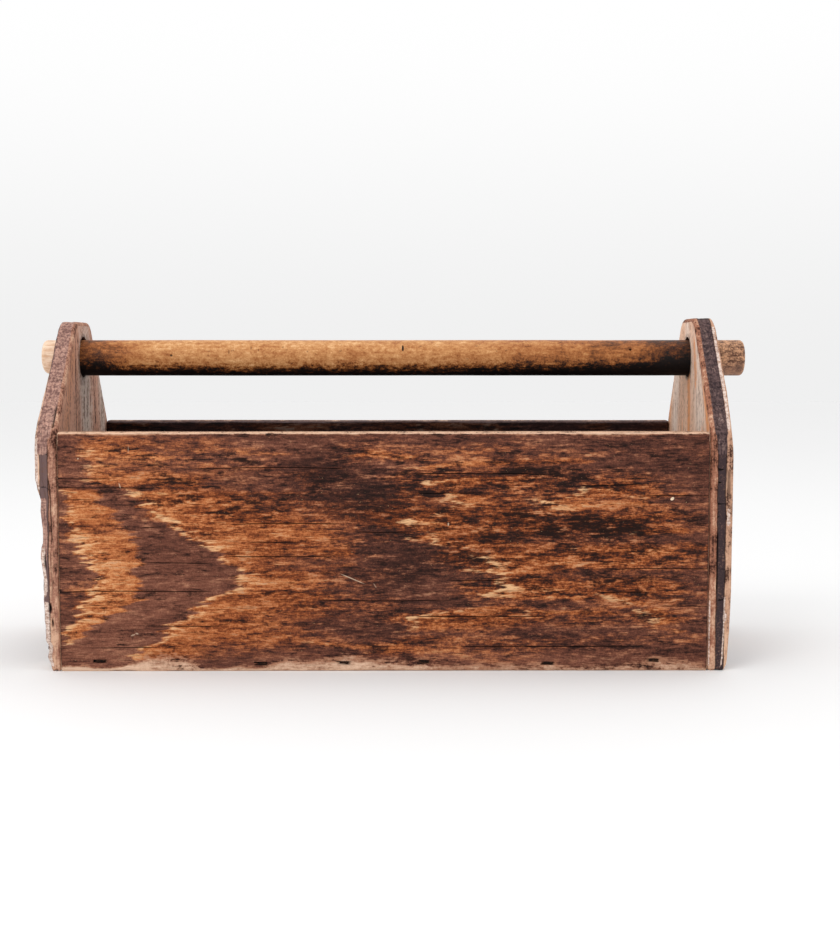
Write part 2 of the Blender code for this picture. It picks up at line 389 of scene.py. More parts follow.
def stained_wood(name, grain, shade=None, specks=()):
    """Rotary-cut veneer under a dark stain. The mesh's figure says how light the wood is, where the
    pale tips of its flames are and where it is blotched black; warm says where the film is worn,
    and streaky where worn and unworn streaks lie side by side. specks are pale marks, laid out as
    Graph.spot takes them."""
    g = Graph(name, grain, specular=0.10)
    tone, tips, blotched = g.axes(g.attribute("figure", "Vector"))
    warm, streaky = g.attribute("warm"), g.attribute("streaky")
    bands = g.streaks(16, 120, roughness=0.55)
    streaks = g.streaks(85, 400)
    fibres = g.streaks(170, 1150, roughness=0.65)
    grit = g.noise((420, 480, 480), detail=3, roughness=0.7)
    grains = g.noise((900, 1150, 1150), detail=1)
    texture = g.sum(bands, (streaks, 1.9), (fibres, 0.9), (grit, 0.9), -2.35)
    liveliness = g.sum((warm, 0.25), (streaky, 0.52), 0.31)
    level = g.sum(g.product(texture, liveliness), (grains, 0.36), tone, (streaky, -0.085), -0.18)
    parted = g.product(texture, g.sum((streaky, 0.9), 0.5))
    hue = g.streaks(14, 42, detail=2, roughness=0.5)
    worn = g.sum(warm, (streaky, 0.64), (parted, 0.8), (hue, 0.9), -0.45)
    worn = g.smooth(worn, 0.14, 0.82)
    colour = g.mix(worn, g.ramp(level, *FILM_STOPS), g.ramp(level, *WORN_STOPS))
    pale = g.sum(tips, (streaks, 1.7), (fibres, 1.1), (bands, 0.5), (streaky, 0.16), -1.65)
    pale = g.smooth(pale, 0.40, 1.00)
    colour = g.mix(g.product(pale, 0.85), colour, PALE_WOOD)
    blotches = g.streaks(62, 190)
    blotches = g.sum(blotches, (blotched, 0.20), (streaky, 0.05), (texture, -0.34))
    colour = g.mix(g.smooth(blotches, 0.57, 0.83, 0.0, 0.90), colour, BLACKENED)
    pores = g.smooth(g.streaks(70, 1800, detail=2, roughness=0.5), 0.585, 0.70)
    colour = g.mix(g.product(pores, 0.62), colour, BLACKENED)
    flecks = g.smooth(g.streaks(700, 1400, detail=1, roughness=0.5), 0.74, 0.82)
    colour = g.mix(g.product(flecks, 0.4), colour, PALE_WOOD)
    wear = g.attribute("wear")
    ragged = g.product(texture, g.smooth(wear, 0.0, 0.4))
    edge_wear = g.smooth(g.sum(wear, (texture, 1.2), (ragged, 0.8)), 0.18, 0.95)
    bareness = g.smooth(g.sum(streaks, (grit, 0.8), (wear, 0.5), -0.5), 0.74, 1.34)
    colour = g.mix(g.product(edge_wear, 0.84), colour, g.mix(bareness, RUBBED_WOOD, BARE_WOOD))
    cross = g.noise((500, 40, 500), detail=4, roughness=0.65)
    splinters = g.ramp(
        g.sum(cross, (g.attribute("torn"), 0.5), -0.5),
        (0.22, (70, 50, 46)), (0.36, (128, 96, 82)), (0.48, (196, 168, 150)), (0.60, (232, 216, 204)),
    )
    torn = g.smooth(g.sum(g.attribute("torn"), (texture, 0.3)), 0.25, 0.50)
    colour = g.mix(torn, colour, splinters)
    # Painted shade in cracks, staple slots and gaps
    colour = g.mix(g.attribute("groove_shade"), colour, (16, 10, 9))
    for speck in specks:
        colour = g.mix(g.spot(*speck), colour, SPECK)
    # Painted shade: the colour is multiplied down, for the inside of the box
    if shade:
        colour = g.mix(1.0, colour, shade, blend="MULTIPLY")
    roughness = g.sum((texture, 0.25), (worn, 0.10), 0.58)
    height = g.sum((streaks, 0.5), (fibres, 0.5), (grit, 0.2), (pores, -0.35), (pale, 0.12))
    return g.finish(colour, roughness, height, 0.6 * MM)


def layered_edge(name, axis, outward, middle, layer, palette):
    """Sawn edge of three-layer plywood: end grain in the middle, long grain on both sides of it.
    The mesh says where it is torn, and where it is stained dark and crackled."""
    g = Graph(name, "Z" if axis == "X" else "X")
    inner, outer, core_colour, stain_light, stain_dark = palette
    wobble = g.noise((60, 60, 60), detail=3)
    distance = g.math("SUBTRACT", g.axes(g.place)["XYZ".index(axis)], middle)
    distance = g.sum((distance, outward), (wobble, 2.6 * MM), -1.3 * MM)
    from_middle = g.math("ABSOLUTE", distance)
    core = g.smooth(from_middle, layer * 0.56, layer * 0.46)
    from_glue = g.math("ABSOLUTE", g.math("SUBTRACT", from_middle, layer * 0.52))
    glue = g.smooth(from_glue, 0.45 * MM, 0.15 * MM)
    streaks = g.streaks(45, 650, detail=4, roughness=0.65)
    blotches = g.noise((95, 95, 60), detail=4, roughness=0.65)
    specks = g.noise((620, 620, 620), detail=3, roughness=0.7)
    ridges = g.streaks(560, 90)
    side = g.mix(g.smooth(distance, -0.5 * MM, 0.5 * MM), inner, outer)
    foot = g.smooth(g.axes(g.place)[2], 66 * MM, 34 * MM, 0.0, 0.16)
    side_tone = g.sum((streaks, 0.7), (specks, 0.7), (blotches, 1.2), foot, -1.3)
    side = g.mix(g.smooth(side_tone, 0.02, -0.26), side, (66, 38, 30))
    side = g.mix(g.smooth(side_tone, 0.0, 0.28, 0.0, 0.70), side, (226, 186, 156))
    end_grain = g.mix(g.smooth(g.sum(specks, (blotches, 0.5)), 0.74, 0.98), core_colour, (112, 84, 74))
    cross_cracks = g.smooth(g.streaks(300, 80, detail=2, roughness=0.5), 0.62, 0.68)
    end_grain = g.mix(cross_cracks, end_grain, (14, 10, 10))
    colour = g.mix(core, side, end_grain)
    colour = g.mix(g.product(glue, 0.7), colour, (30, 20, 18))
    crackle = g.smooth(g.cell_edges(g.stretched(300, 150)), 0.08, 0.02)
    crackle = g.product(crackle, g.smooth(blotches, 0.47, 0.63))
    stain = g.sum((ridges, 0.6), (streaks, 1.1), (specks, 0.4), (blotches, 0.6), -1.35)
    stain = g.mix(g.smooth(stain, -0.18, 0.20), stain_dark, stain_light)
    stain = g.mix(g.product(crackle, 0.45), stain, (44, 30, 30))
    dust = g.smooth(g.noise((330, 330, 330), detail=2, roughness=0.6), 0.60, 0.68)
    stain = g.mix(g.product(dust, 0.32), stain, (172, 142, 130))
    stained = g.smooth(g.sum(g.attribute("stained"), (streaks, 0.9), (blotches, 0.9), -0.9), 0.30, 0.62)
    colour = g.mix(stained, colour, stain)
    torn = g.smooth(g.sum(g.attribute("torn"), (blotches, 1.4), (specks, 0.7)), 1.35, 1.70)
    pale = g.smooth(g.sum((specks, 0.6), (ridges, 0.4)), 0.36, 0.62)
    colour = g.mix(torn, colour, g.mix(pale, (160, 124, 106), (232, 212, 200)))
    # Painted shade in the gaps between layers
    colour = g.mix(g.attribute("groove_shade"), colour, (12, 8, 7))
    height = g.sum(
        (streaks, 0.30), (specks, 0.35), (g.product(ridges, stained), 0.35), (glue, -0.4),
        (cross_cracks, -0.4), (g.product(crackle, stained), -0.35),
    )
    return g.finish(colour, g.sum((streaks, 0.2), 0.68), height, 0.9 * MM)


def weathered_wood(name, base, silver, tan, dark, contrast):
    """Bare face of an end, its grain upright. The mesh's patches say where it is silvered, tanned and
    darkened; another attribute says where it is darker towards the bottom, and where painted shade lies
    round the bar's hole."""
    g = Graph(name)
    silvered, tanned, darkened = g.axes(g.attribute("patches", "Vector"))
    bands = g.streaks(10, 55, roughness=0.55)
    streaks = g.streaks(34, 210, detail=4, roughness=0.62)
    fibres = g.streaks(90, 900)
    grit = g.noise((300, 300, 260), detail=4, roughness=0.7)
    texture = g.sum((bands, 0.7), (streaks, 0.8), (fibres, 0.4), grit, -1.45)
    colour = g.mix(g.smooth(texture, 0.06, -0.30, 0.0, 0.8), base, dark)
    greyed = g.smooth(g.sum(streaks, (grit, 0.7)), 0.92, 0.66, 0.0, 0.55 * contrast)
    silver = g.mix(greyed, silver, dark)
    colour = g.mix(g.smooth(g.sum(silvered, (texture, contrast)), 0.10, 0.95), colour, silver)
    colour = g.mix(g.smooth(g.sum(tanned, (texture, 1.5)), 0.20, 1.05), colour, tan)
    colour = g.mix(g.smooth(g.sum(darkened, (texture, -1.2)), 0.40, 0.95), colour, dark)
    grime = g.sum(streaks, (grit, 1.2), (fibres, 0.4), -1.3)
    colour = g.mix(g.smooth(grime, 0.02, -0.34, 0.0, 0.55 * contrast), colour, (104, 76, 64))
    splits = g.smooth(g.streaks(26, 360, detail=2, roughness=0.5, distortion=0.6), 0.62, 0.72)
    colour = g.mix(g.product(splits, 0.36 * contrast), colour, (62, 42, 34))
    # Painted shade in the furrows
    colour = g.mix(g.attribute("groove_shade"), colour, (24, 15, 12))
    # Darker towards the bottom, and painted shade round the bar's hole
    dirt_and_shade = g.smooth(g.sum(g.attribute("dirt_and_shade"), (texture, -0.6)), 0.25, 0.95, 0.0, 0.85)
    colour = g.mix(dirt_and_shade, colour, (44, 28, 22))
    height = g.sum((bands, 0.2), (streaks, 0.5), (fibres, 0.3), (grit, 0.2), (splits, -0.5))
    return g.finish(colour, g.sum((streaks, 0.2), 0.66), height, 0.7 * MM)


def bar_wood(name, axis_height, radius, inner_half):
    """A hardwood bar: honey brown where hands hold it, with a painted highlight on top, and dark
    underneath and beside the ends: dirt, and painted shade underneath."""
    g = Graph(name, specular=0.16)
    x, _, z = g.axes(g.place)
    height = g.math("DIVIDE", g.math("SUBTRACT", z, axis_height), radius)
    bands = g.noise((9, 70, 70), detail=3, roughness=0.55)
    streaks = g.noise((40, 520, 520), detail=3, roughness=0.62)
    mottle = g.noise((50, 80, 80), detail=4, roughness=0.65)
    spots = g.noise((210, 300, 300), detail=4, roughness=0.7)
    grit = g.noise((800, 800, 800), detail=2, roughness=0.7)
    texture = g.sum((mottle, 0.7), (spots, 1.2), (grit, 0.6), (streaks, 0.5), (bands, 0.4), -1.70)
    right = g.smooth(x, 20 * MM, 200 * MM)
    by_left = g.smooth(x, -inner_half + 55 * MM, -inner_half + 8 * MM)
    by_right = g.smooth(x, inner_half - 50 * MM, inner_half - 14 * MM)
    # Darker underneath: partly dirt, partly painted shade under the bar; darker beside the ends and
    # towards +X
    dirt_and_shade_level = g.sum(height, (right, -0.14), (by_right, -0.25), (by_left, -0.12), (texture, 0.6))
    dirt_and_shade = g.smooth(dirt_and_shade_level, -0.20, -0.96, 0.0, 0.70)
    # The level rises with height: a painted highlight on the top of the bar
    level = g.sum(
        (height, 0.08), (texture, 0.72), (dirt_and_shade, -1.0), (right, -0.26), (by_right, -0.24),
        (by_left, -0.34), 0.73,
    )
    colour = g.ramp(
        level, (0.00, (18, 13, 13)), (0.15, (38, 24, 18)), (0.30, (78, 43, 24)), (0.45, (122, 71, 36)),
        (0.58, (160, 97, 52)), (0.72, (183, 124, 74)), (0.86, (202, 146, 94)), (1.00, (224, 176, 126)),
    )
    specks = g.smooth(g.noise((260, 420, 420), detail=2), 0.66, 0.76)
    colour = g.mix(g.product(specks, 0.55), colour, (70, 42, 28))
    tip_left = g.smooth(x, -inner_half - 15 * MM, -inner_half - 19 * MM)
    clean = g.mix(g.smooth(g.sum(streaks, (spots, 0.6)), 0.62, 0.98), (214, 174, 142), (244, 218, 192))
    colour = g.mix(tip_left, colour, clean)
    tip_right = g.smooth(x, inner_half + 14 * MM, inner_half + 19 * MM)
    crackle = g.smooth(g.cell_edges((230, 330, 330)), 0.09, 0.02)
    crackle = g.product(crackle, g.smooth(mottle, 0.44, 0.54))
    rough_tip = g.mix(g.smooth(texture, -0.24, 0.18), (92, 60, 46), (216, 164, 126))
    rough_tip = g.mix(g.smooth(height, 0.1, -0.9, 0.0, 0.5), rough_tip, (138, 110, 100))
    rough_tip = g.mix(g.product(crackle, 0.5), rough_tip, (62, 40, 32))
    colour = g.mix(tip_right, colour, rough_tip)
    # Painted shade in the knocks
    colour = g.mix(g.attribute("groove_shade"), colour, (18, 11, 9))
    relief = g.sum(
        (streaks, 0.2), (spots, 0.4), (mottle, 0.3), (grit, 0.15), (dirt_and_shade, -0.1),
        (g.product(crackle, tip_right), -0.5),
    )
    return g.finish(colour, g.sum((dirt_and_shade, 0.15), (texture, 0.2), 0.50), relief, 0.5 * MM)


def rusty_steel(name):
    g = Graph(name, metallic=0.75)
    rust = g.noise((500, 500, 500), detail=4, roughness=0.7)
    grain = g.noise((2500, 2500, 2500), detail=2)
    colour = g.ramp(rust, (0.40, (34, 29, 28)), (0.55, (52, 37, 31)), (0.68, (88, 60, 44)))
    return g.finish(colour, g.sum((rust, 0.5), 0.32), g.sum((rust, 0.6), (grain, 0.4)), 0.15 * MM)


def torn_wood(name):
    """The raw walls of a hole: dark, dirty fibres."""
    g = Graph(name)
    fibres = g.noise((600, 600, 600), detail=4, roughness=0.65)
    colour = g.ramp(fibres, (0.38, (28, 17, 14)), (0.62, (92, 58, 42)))
    return g.finish(colour, 0.8, fibres, 0.5 * MM)


# ---- The sides' figure ----------------------------------------------------------------------------

# Flames of the front side, where growth rings come to the surface: a jagged pale edge at height, x
# points and, towards +X of it, warm wood that fades over a reach. The first stops at a far edge.
FRONT_FLAMES = (
    (1.0, 60, ((20, -252), (31, -247), (42, -235), (57, -226), (70, -224), (83, -224), (99, -238),
     (108, -246)),
     ((20, -252), (29, -231), (44, -206), (56, -190), (63, -185), (73, -192), (89, -184), (102, -191),
      (108, -196))),
    (0.75, 60, ((104, -246), (112, -242), (125, -240), (136, -243), (142, -250)),
     ((104, -192), (115, -200), (125, -206), (136, -214), (142, -226))),
    (1.0, 75, ((8, -196), (14, -190), (22, -180), (29, -170), (36, -162), (44, -148), (52, -140),
     (57, -135), (63, -122)), ()),
    (0.85, 70, ((62, -121), (69, -112), (76, -105), (84, -122), (92, -128), (97, -134), (104, -148)), ()),
    (0.95, 110, ((100, -142), (105, -148), (110, -158), (116, -166), (122, -174), (128, -181),
     (134, -186), (140, -190)), ()),
    (0.30, 130, ((137, -192), (144, -202), (150, -214), (158, -226), (168, -232), (182, -236)), ()),
    (0.55, 40, ((144, 30), (147, 34), (151, 40)), ()),
    (0.6, 60, ((94, 46), (98, 45), (103, 34), (108, 30), (113, 18), (118, 17), (123, 28), (127, 50),
     (133, 55), (138, 42)), ()),
    (0.75, 55, ((56, 86), (60, 84), (66, 92), (72, 88), (77, 78), (82, 86), (88, 79), (91, 84)), ()),
    (0.55, 70, ((30, 6), (36, 12), (40, 18), (43, 26), (47, 50), (52, 84)), ()),
    (0.5, 60, ((12, -18), (17, -8), (22, 4), (28, 14)), ()),
    (0.7, 45, ((124, 140), (128, 126), (133, 122), (137, 146), (142, 148), (146, 150)), ()),
)
# Soft lighter and darker areas of the front side, in millimetres: from x, z to x, z, half width, change
FRONT_TONE = (
    (-247, 95, -238, 62, 9, 0.09), (-246, 156, -228, 154, 7, 0.07), (-214, 24, -194, 16, 8, 0.07),
    (-234, 122, -206, 120, 8, 0.09), (-138, 44, -84, 42, 10, 0.07), (70, 130, 235, 60, 55, -0.03),
    (-188, 92, -140, 76, 13, 0.03), (-214, 98, -204, 48, 13, 0.07), (-160, 66, -205, 34, 12, 0.07),
    (-232, 14, -200, 12, 9, 0.16), (-235, 168, -170, 158, 14, 0.08), (-160, 165, -60, 168, 9, 0.10),
    (-150, 142, -60, 130, 12, -0.05), (-50, 158, -10, 130, 17, -0.21), (-30, 120, 10, 100, 10, -0.05),
    (-130, 20, -40, 30, 12, 0.05), (15, 80, 62, 92, 12, -0.19), (-40, 74, 20, 68, 8, -0.09),
    (-45, 36, 5, 30, 9, -0.13), (-10, 52, 60, 54, 7, -0.04), (-90, 90, -35, 82, 13, -0.07),
    (60, 128, 115, 118, 10, -0.05), (105, 30, 175, 26, 9, -0.03), (105, 160, 145, 150, 9, -0.10),
    (140, 110, 190, 108, 12, -0.14), (205, 165, 250, 160, 14, -0.05), (205, 90, 248, 70, 14, 0.04),
    (195, 25, 245, 22, 10, 0.07), (40, 12, 150, 10, 6, 0.14), (0, 162, 60, 166, 8, 0.08),
    (60, 168, 150, 170, 6, 0.06), (225, 135, 245, 128, 8, 0.05),
)
# Where worn and unworn streaks lie side by side, laid out as above
FRONT_STREAKY = (
    (-240, 170, -90, 164, 13, 0.42), (-215, 150, -150, 146, 9, 0.5), (-150, 124, -60, 116, 20, 0.45),
    (-90, 104, -30, 96, 14, 0.5), (-80, 62, -10, 54, 18, 0.5), (-110, 30, -20, 24, 12, 0.4),
    (-20, 168, 180, 170, 12, 0.6), (20, 144, 190, 144, 16, 0.85), (24, 116, 215, 116, 18, 0.85),
    (-40, 120, 20, 116, 14, 0.35), (70, 88, 225, 88, 16, 0.9), (80, 64, 215, 62, 14, 0.9),
    (10, 42, 120, 42, 9, 0.8), (-30, 20, 235, 24, 12, 0.55), (150, 40, 225, 42, 10, 0.7),
    (205, 150, 248, 140, 18, 0.35), (190, 172, 248, 162, 12, 0.45), (218, 60, 248, 60, 16, 0.4),
    (-45, 80, 40, 76, 9, 0.3), (-50, 150, 0, 150, 18, 0.3), (-235, 100, -200, 60, 9, 0.2),
    (-248, 108, -232, 50, 9, 0.4), (-246, 150, -226, 150, 8, 0.35),
)
# Lighter streaks of the front side, laid out as above
FRONT_STREAKS = (
    (-205, 158, -222, 159, 3, 0.7), (-214, 147, -190, 147, 3, 0.5), (-215, 170, -165, 165, 4, 0.5),
    (-150, 134, -104, 128, 4, 0.5), (-190, 138, -168, 138, 2.2, 0.9), (-175, 120, -150, 118, 2.5, 0.6),
    (-98, 93, -32, 92, 5, 0.6), (-132, 96, -108, 97, 2.0, 0.9), (-78, 83, -28, 82, 4.0, 0.5),
    (-120, 106, -30, 108, 7, 0.65), (-110, 66, -50, 70, 5, 0.5), (-118, 170, -62, 168, 4, 0.5),
    (-20, 168, 25, 164, 3, 0.6), (28, 158, 60, 160, 2.4, 0.5), (34, 146, 66, 147, 2.2, 0.9),
    (56, 132, 84, 129, 5, 0.6), (18, 116, 46, 115, 1.6, 0.9), (28, 104, 46, 103, 2.0, 0.9),
    (50, 121, 96, 119, 2.4, 0.5), (44, 98, 76, 97, 2.0, 0.9), (80, 88, 142, 85, 3.4, 0.6),
    (76, 78, 92, 76, 2.0, 0.9), (104, 75, 142, 72, 5, 0.5), (98, 65, 142, 62, 2.6, 0.9),
    (84, 59, 150, 58, 1.8, 0.7), (126, 131, 150, 129, 5.5, 0.95), (150, 142, 176, 141, 1.8, 0.8),
    (158, 129, 202, 130, 2.4, 0.6), (198, 134, 226, 136, 2.2, 0.6), (60, 160, 152, 163, 2.4, 0.6),
    (198, 107, 228, 108, 1.8, 0.8), (112, 46, 172, 45, 2.2, 0.7), (28, 34, 76, 33, 5, 0.4),
    (30, 42, 60, 43, 2, 0.6), (0, 16, 58, 20, 6, 0.35), (180, 58, 192, 53, 3.0, 0.75),
    (203, 46, 215, 38, 3.2, 0.8), (208, 33, 222, 31, 2, 0.5), (150, 82, 205, 84, 3, 0.45),
    (-45, 22, 0, 18, 3, 0.4), (150, 95, 215, 92, 2.4, 0.45), (170, 118, 240, 120, 2, 0.4),
    (150, 48, 180, 49, 2, 0.5), (225, 98, 248, 96, 2.4, 0.3),
)
# Where the front side is blotched black, laid out as above
FRONT_BLACK = (
    (-228, 157, -214, 157, 2.2, 0.9), (-205, 165, -160, 160, 6, 0.55), (-190, 150, -110, 148, 12, 0.5),
    (-190, 131, -176, 132, 2.6, 1.0), (-120, 128, -110, 127, 2.6, 1.0),
    (-130, 166, -104, 162, 2.4, 1.0), (-95, 132, -50, 134, 9, 0.6), (-60, 155, 0, 150, 16, 0.35),
    (-170, 129, -158, 129, 1.8, 0.8), (20, 155, 70, 157, 5, 0.6), (105, 156, 148, 153, 5, 1.2),
    (95, 142, 136, 137, 4, 0.9), (105, 121, 152, 116, 6, 0.95), (130, 109, 190, 111, 8, 1.0),
    (76, 104, 90, 103, 3, 0.95), (90, 100, 120, 97, 4, 0.6), (165, 71, 200, 71, 4.5, 1.0),
    (76, 84, 88, 82, 2.4, 0.8), (50, 138, 20, 138, 3, 0.7), (160, 150, 200, 146, 6, 0.5),
    (190, 125, 238, 118, 7, 0.5), (80, 70, 100, 69, 2, 0.6), (200, 92, 240, 88, 6, 0.3),
    (40, 112, 100, 106, 4, 0.4), (150, 92, 200, 98, 6, 0.45),
)
# Jitter of a figure's edges along the grain: how far, over what length along and across the grain
JITTERS = ((11, 45, 1.7), (7, 70, 5), (4, 24, 0.9))
BASE_TONE = 0.435
# Cracks in the front side, in millimetres: from x to x, height
FRONT_CRACKS = (
    (-250, -204, 149), (-250, -172, 142), (-192, -168, 111.5), (-186, -128, 84), (-125, -40, 89),
    (-250, -130, 62), (-232, -212, 51), (-185, -122, 35), (-226, -172, 18.5), (-55, 48, 55),
    (-28, 28, 108), (-150, -25, 157), (148, 202, 144), (198, 250, 135.5), (160, 212, 61),
    (208, 250, 50), (55, 196, 19), (20, 132, 152.5), (20, 76, 137.5), (20, 132, 42.5), (45, 100, 70.5),
    (174, 250, 79), (-120, -30, 114), (-110, -60, 100),
)
# Height of bare, rubbed wood along the front side's lower edge, in millimetres: x, height
FRONT_FOOT_WEAR = (
    (-250, 3.6), (-215, 3.6), (-178, 10), (-152, 11), (-140, 3), (-100, 3), (-76, 7), (-30, 11),
    (15, 10), (48, 5), (120, 6), (170, 3), (200, 8), (240, 6), (250, 3),
)
EVEN_FOOT_WEAR = ((-250, 4), (250, 4))
# How much paler that wood is than elsewhere: x, change
FRONT_FOOT_PALENESS = (
    (-250, 1.3), (-205, 1.0), (-180, 0.3), (-120, 0.45), (-20, 0.45), (50, -0.05), (250, 0.1),
)
# Pale specks and scratches of the front side: x, z, half length, half height, slope, strength
FRONT_SPECKS = (
    (221, 133.6, 1.5, 1.3, 0.3, 0.95), (-24.2, 71.8, 9.6, 0.42, -0.42, 0.5),
    (-202, 143.8, 0.8, 1.4, -2.0, 0.4), (-195, 171.5, 0.4, 3.0, 1.5, 0.2),
    (-193.5, 28.2, 1.8, 0.6, 0.3, 0.35), (-190.5, 29.4, 1.3, 0.7, -0.2, 0.35),
    (49.3, 114, 0.55, 1.4, 0.0, 0.5), (-7, 66.5, 1.2, 0.6, -1.6, 0.3),
    (-233.5, 164.5, 0.7, 0.6, 0.0, 0.4),
)


def strokes_at(along, across, strokes):
    """Strength of each stroke at each point. It reaches twice as far along the grain as across."""
    squeeze = np.array([0.5, 1.0])
    places = np.stack([along, across], axis=1) / MM * squeeze
    for start_along, start_across, end_along, end_across, half_width, strength in strokes:
        start = np.array([start_along, start_across]) * squeeze
        run = np.array([end_along, end_across]) * squeeze - start
        part = np.clip((places - start) @ run / (run @ run + 1e-9), 0, 1)
        distance = np.linalg.norm(places - start - part[:, None] * run, axis=1)
        yield strength * np.exp(-((distance / half_width) ** 2))


def strongest(along, across, strokes):
    field = np.zeros(len(along))
    for stroke in strokes_at(along, across, strokes):
        field = np.maximum(field, stroke)
    return field


def flames_at(along, across, flames):
    """Warmth, lightness and pale tips, from 0 to 1, of flames."""
    warm, glow, tips = np.zeros((3, len(along)))
    x, z = along / MM, across / MM
    for strength, reach, edge, far_edge in flames:
        heights, places = np.transpose(edge)
        beyond = x - np.interp(z, heights, places)
        present = smoothstep(z, heights[0] - 2, heights[0] + 3)
        present = present * smoothstep(z, heights[-1] + 2, heights[-1] - 3)
        present = present * smoothstep(beyond, -1.5, 1.5) * strength
        fade = np.exp(-((np.maximum(beyond, 0) / reach) ** 1.5))
        near = np.exp(-np.maximum(beyond, 0) / (0.35 * reach))
        if far_edge:
            far_heights, far_places = np.transpose(far_edge)
            fade = smoothstep(np.interp(z, far_heights, far_places) - x, -3, 4)
            near = 0.5 * (fade + near)
        warm = np.maximum(warm, present * fade)
        glow = np.maximum(glow, present * near)
        tips = np.maximum(tips, present * np.exp(-np.maximum(beyond, 0) / 8))
    return warm, glow, tips


def figure_of(along, across, flames, tone, streaky, streaks, black, seed):
    """The attributes that stained_wood reads."""
    places = np.stack([along, across, along * 0], axis=1) / MM
    jitter = np.zeros(len(along))
    for number, (reach, length, width) in enumerate(JITTERS):
        jitter += reach * layered_noise(places, (length, width, 1), seed + 13 * number, octaves=1) * MM
    shifted = along + jitter
    warm, glow, tips = flames_at(shifted, across, flames)
    light = strongest(shifted, across, streaks)
    rise = strongest(shifted + 5 * MM, across, streaks) - strongest(shifted - 3 * MM, across, streaks)
    level = BASE_TONE + sum(strokes_at(shifted, across, tone))
    level = level + 0.25 * glow - 0.03 * warm + 0.20 * light
    tips = np.clip(tips + np.clip(rise * 0.9, 0, 0.5) + 0.16 * light, 0, 1)
    dark = strongest(along + 0.5 * jitter, across, black)
    return {
        "figure": np.stack([level, tips, dark], axis=1),
        "warm": np.clip(np.maximum(warm, light * 0.8), 0, 1),
        "streaky": np.clip(strongest(shifted, across, streaky), 0, 1),
    }


def random_figure(along, across, half_length, low, high, seed):
    """A figure in the same manner for a face seen by nobody."""
    rng = np.random.default_rng(seed)

    def strokes(count, widths, strengths, lengths=(15, 80)):
        made = []
        for _ in range(count):
            start, height = rng.uniform(-half_length, half_length), rng.uniform(low, high)
            length = rng.uniform(*lengths)
            climb = rng.uniform(-0.15, 0.15) * length
            end = (start + length, height + climb)
            made.append((start, height, *end, rng.uniform(*widths), rng.uniform(*strengths)))
        return made

    flames = []
    for place in np.arange(-half_length - 40, half_length, 85.0):
        middle, spread = rng.uniform(low, high), (high - low) * 0.3
        heights = np.linspace(low, high, 9)
        bulge = rng.uniform(25, 70) * np.exp(-(((heights - middle) / spread) ** 2))
        edge = tuple(zip(heights, place + bulge + rng.uniform(-9, 9, len(heights))))
        flames.append((rng.uniform(0.6, 1.0), rng.uniform(25, 60), edge, ()))
    return figure_of(
        along, across, flames, strokes(14, (8, 18), (-0.16, 0.12)), strokes(12, (10, 22), (0.4, 0.9)),
        strokes(30, (2, 5), (0.4, 0.9)), strokes(18, (3, 10), (0.4, 1.0)), seed,
    )


# ---- Sides and floor ------------------------------------------------------------------------------

# Steps of mesh along X, Y and Z
SIDE_STEPS = (4.8 * MM, 3 * MM, 1.1 * MM)
FLOOR_STEPS = (4 * MM, 2 * MM, 3 * MM)
# Material of each side of the box, from -X to +Z: 0 outer face, 1 sawn edge, 2 inner face
SIDE_MATERIALS = (1, 1, 0, 2, 1, 1)
# Height of the bare wood along a top edge, and how much barer it is than elsewhere
TOP_WORN_HEIGHT = 2.4 * MM
TOP_PALENESS = 1.8
# Painted shadow in the gap where a side meets an end: how dark, and where it begins and is darkest
JOINT_SHADOW = 0.75
JOINT_REACH = 1.4 * MM
JOINT_DARKEST = 0.3 * MM
# Upper and lower edges wander by this, out to a distance from the edge, and are nicked so deep
EDGE_WANDER = 1.1 * MM
EDGE_REACH = 8 * MM
NICK_DEPTH = 1.1 * MM
# Depth at which a slot's painted shade begins, and at which it is black
SLOT_SHADE = (0.4 * MM, 1.5 * MM)


def staple_slots(prefix, axes):
    """Centre and half size, on two axes, of the slot over each staple whose name starts so."""
    slots = []
    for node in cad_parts:
        if node.startswith(prefix):
            low, high = (np.array(corner)[list(axes)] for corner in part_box(node))
            half = np.where(high - low > 5 * MM, SLOT_HALF_WIDTH, SLOT_HALF_HEIGHT)
            slots.append(((low + high) / 2, half))
    return slots


def slot_depth(first, second, slots):
    """How far each point of a face is sunk by the slots in it."""
    sunk = np.zeros(len(first))
    places = np.stack([first, second, first * 0], axis=1) / MM
    ragged = 1 - 0.30 * np.abs(layered_noise(places, (3.1, 3.3, 1), 7))
    ragged -= 0.12 * layered_noise(places, (7, 5, 1), 8)
    for centre, half in slots:
        within = 1.0
        for axis, place in enumerate((first, second)):
            rim = half[axis] * ragged
            within = within * smoothstep(np.abs(place - centre[axis]), rim + SLOT_WALL, rim)
        sunk = np.maximum(sunk, within)
    return sunk * SLOT_DEPTH


def slot_lines(slots, axis):
    """Mesh lines at the rims of slots."""
    rims = [centre[axis] + side * (half[axis] + SLOT_WALL * place)
            for centre, half in slots for side in (-1, 1) for place in (0, 1)]
    return np.array(rims)


def crack_depth(along, across, cracks, end):
    """Depth, from 0 to 1, of the cracks at each point. One that reaches the board's end stays open
    there; elsewhere it closes over the last few millimetres."""
    depth = np.zeros(len(along))
    for start, stop, place in cracks:
        opening = np.ones(len(along))
        if start * MM > -end:
            opening *= smoothstep(along, start * MM, (start + CRACK_TAPER) * MM)
        if stop * MM < end:
            opening *= smoothstep(along, stop * MM, (stop - CRACK_TAPER) * MM)
        across_crack = smoothstep(np.abs(across - place * MM), CRACK_HALF_WIDTH, 0.1 * MM)
        depth = np.maximum(depth, opening * across_crack)
    return depth


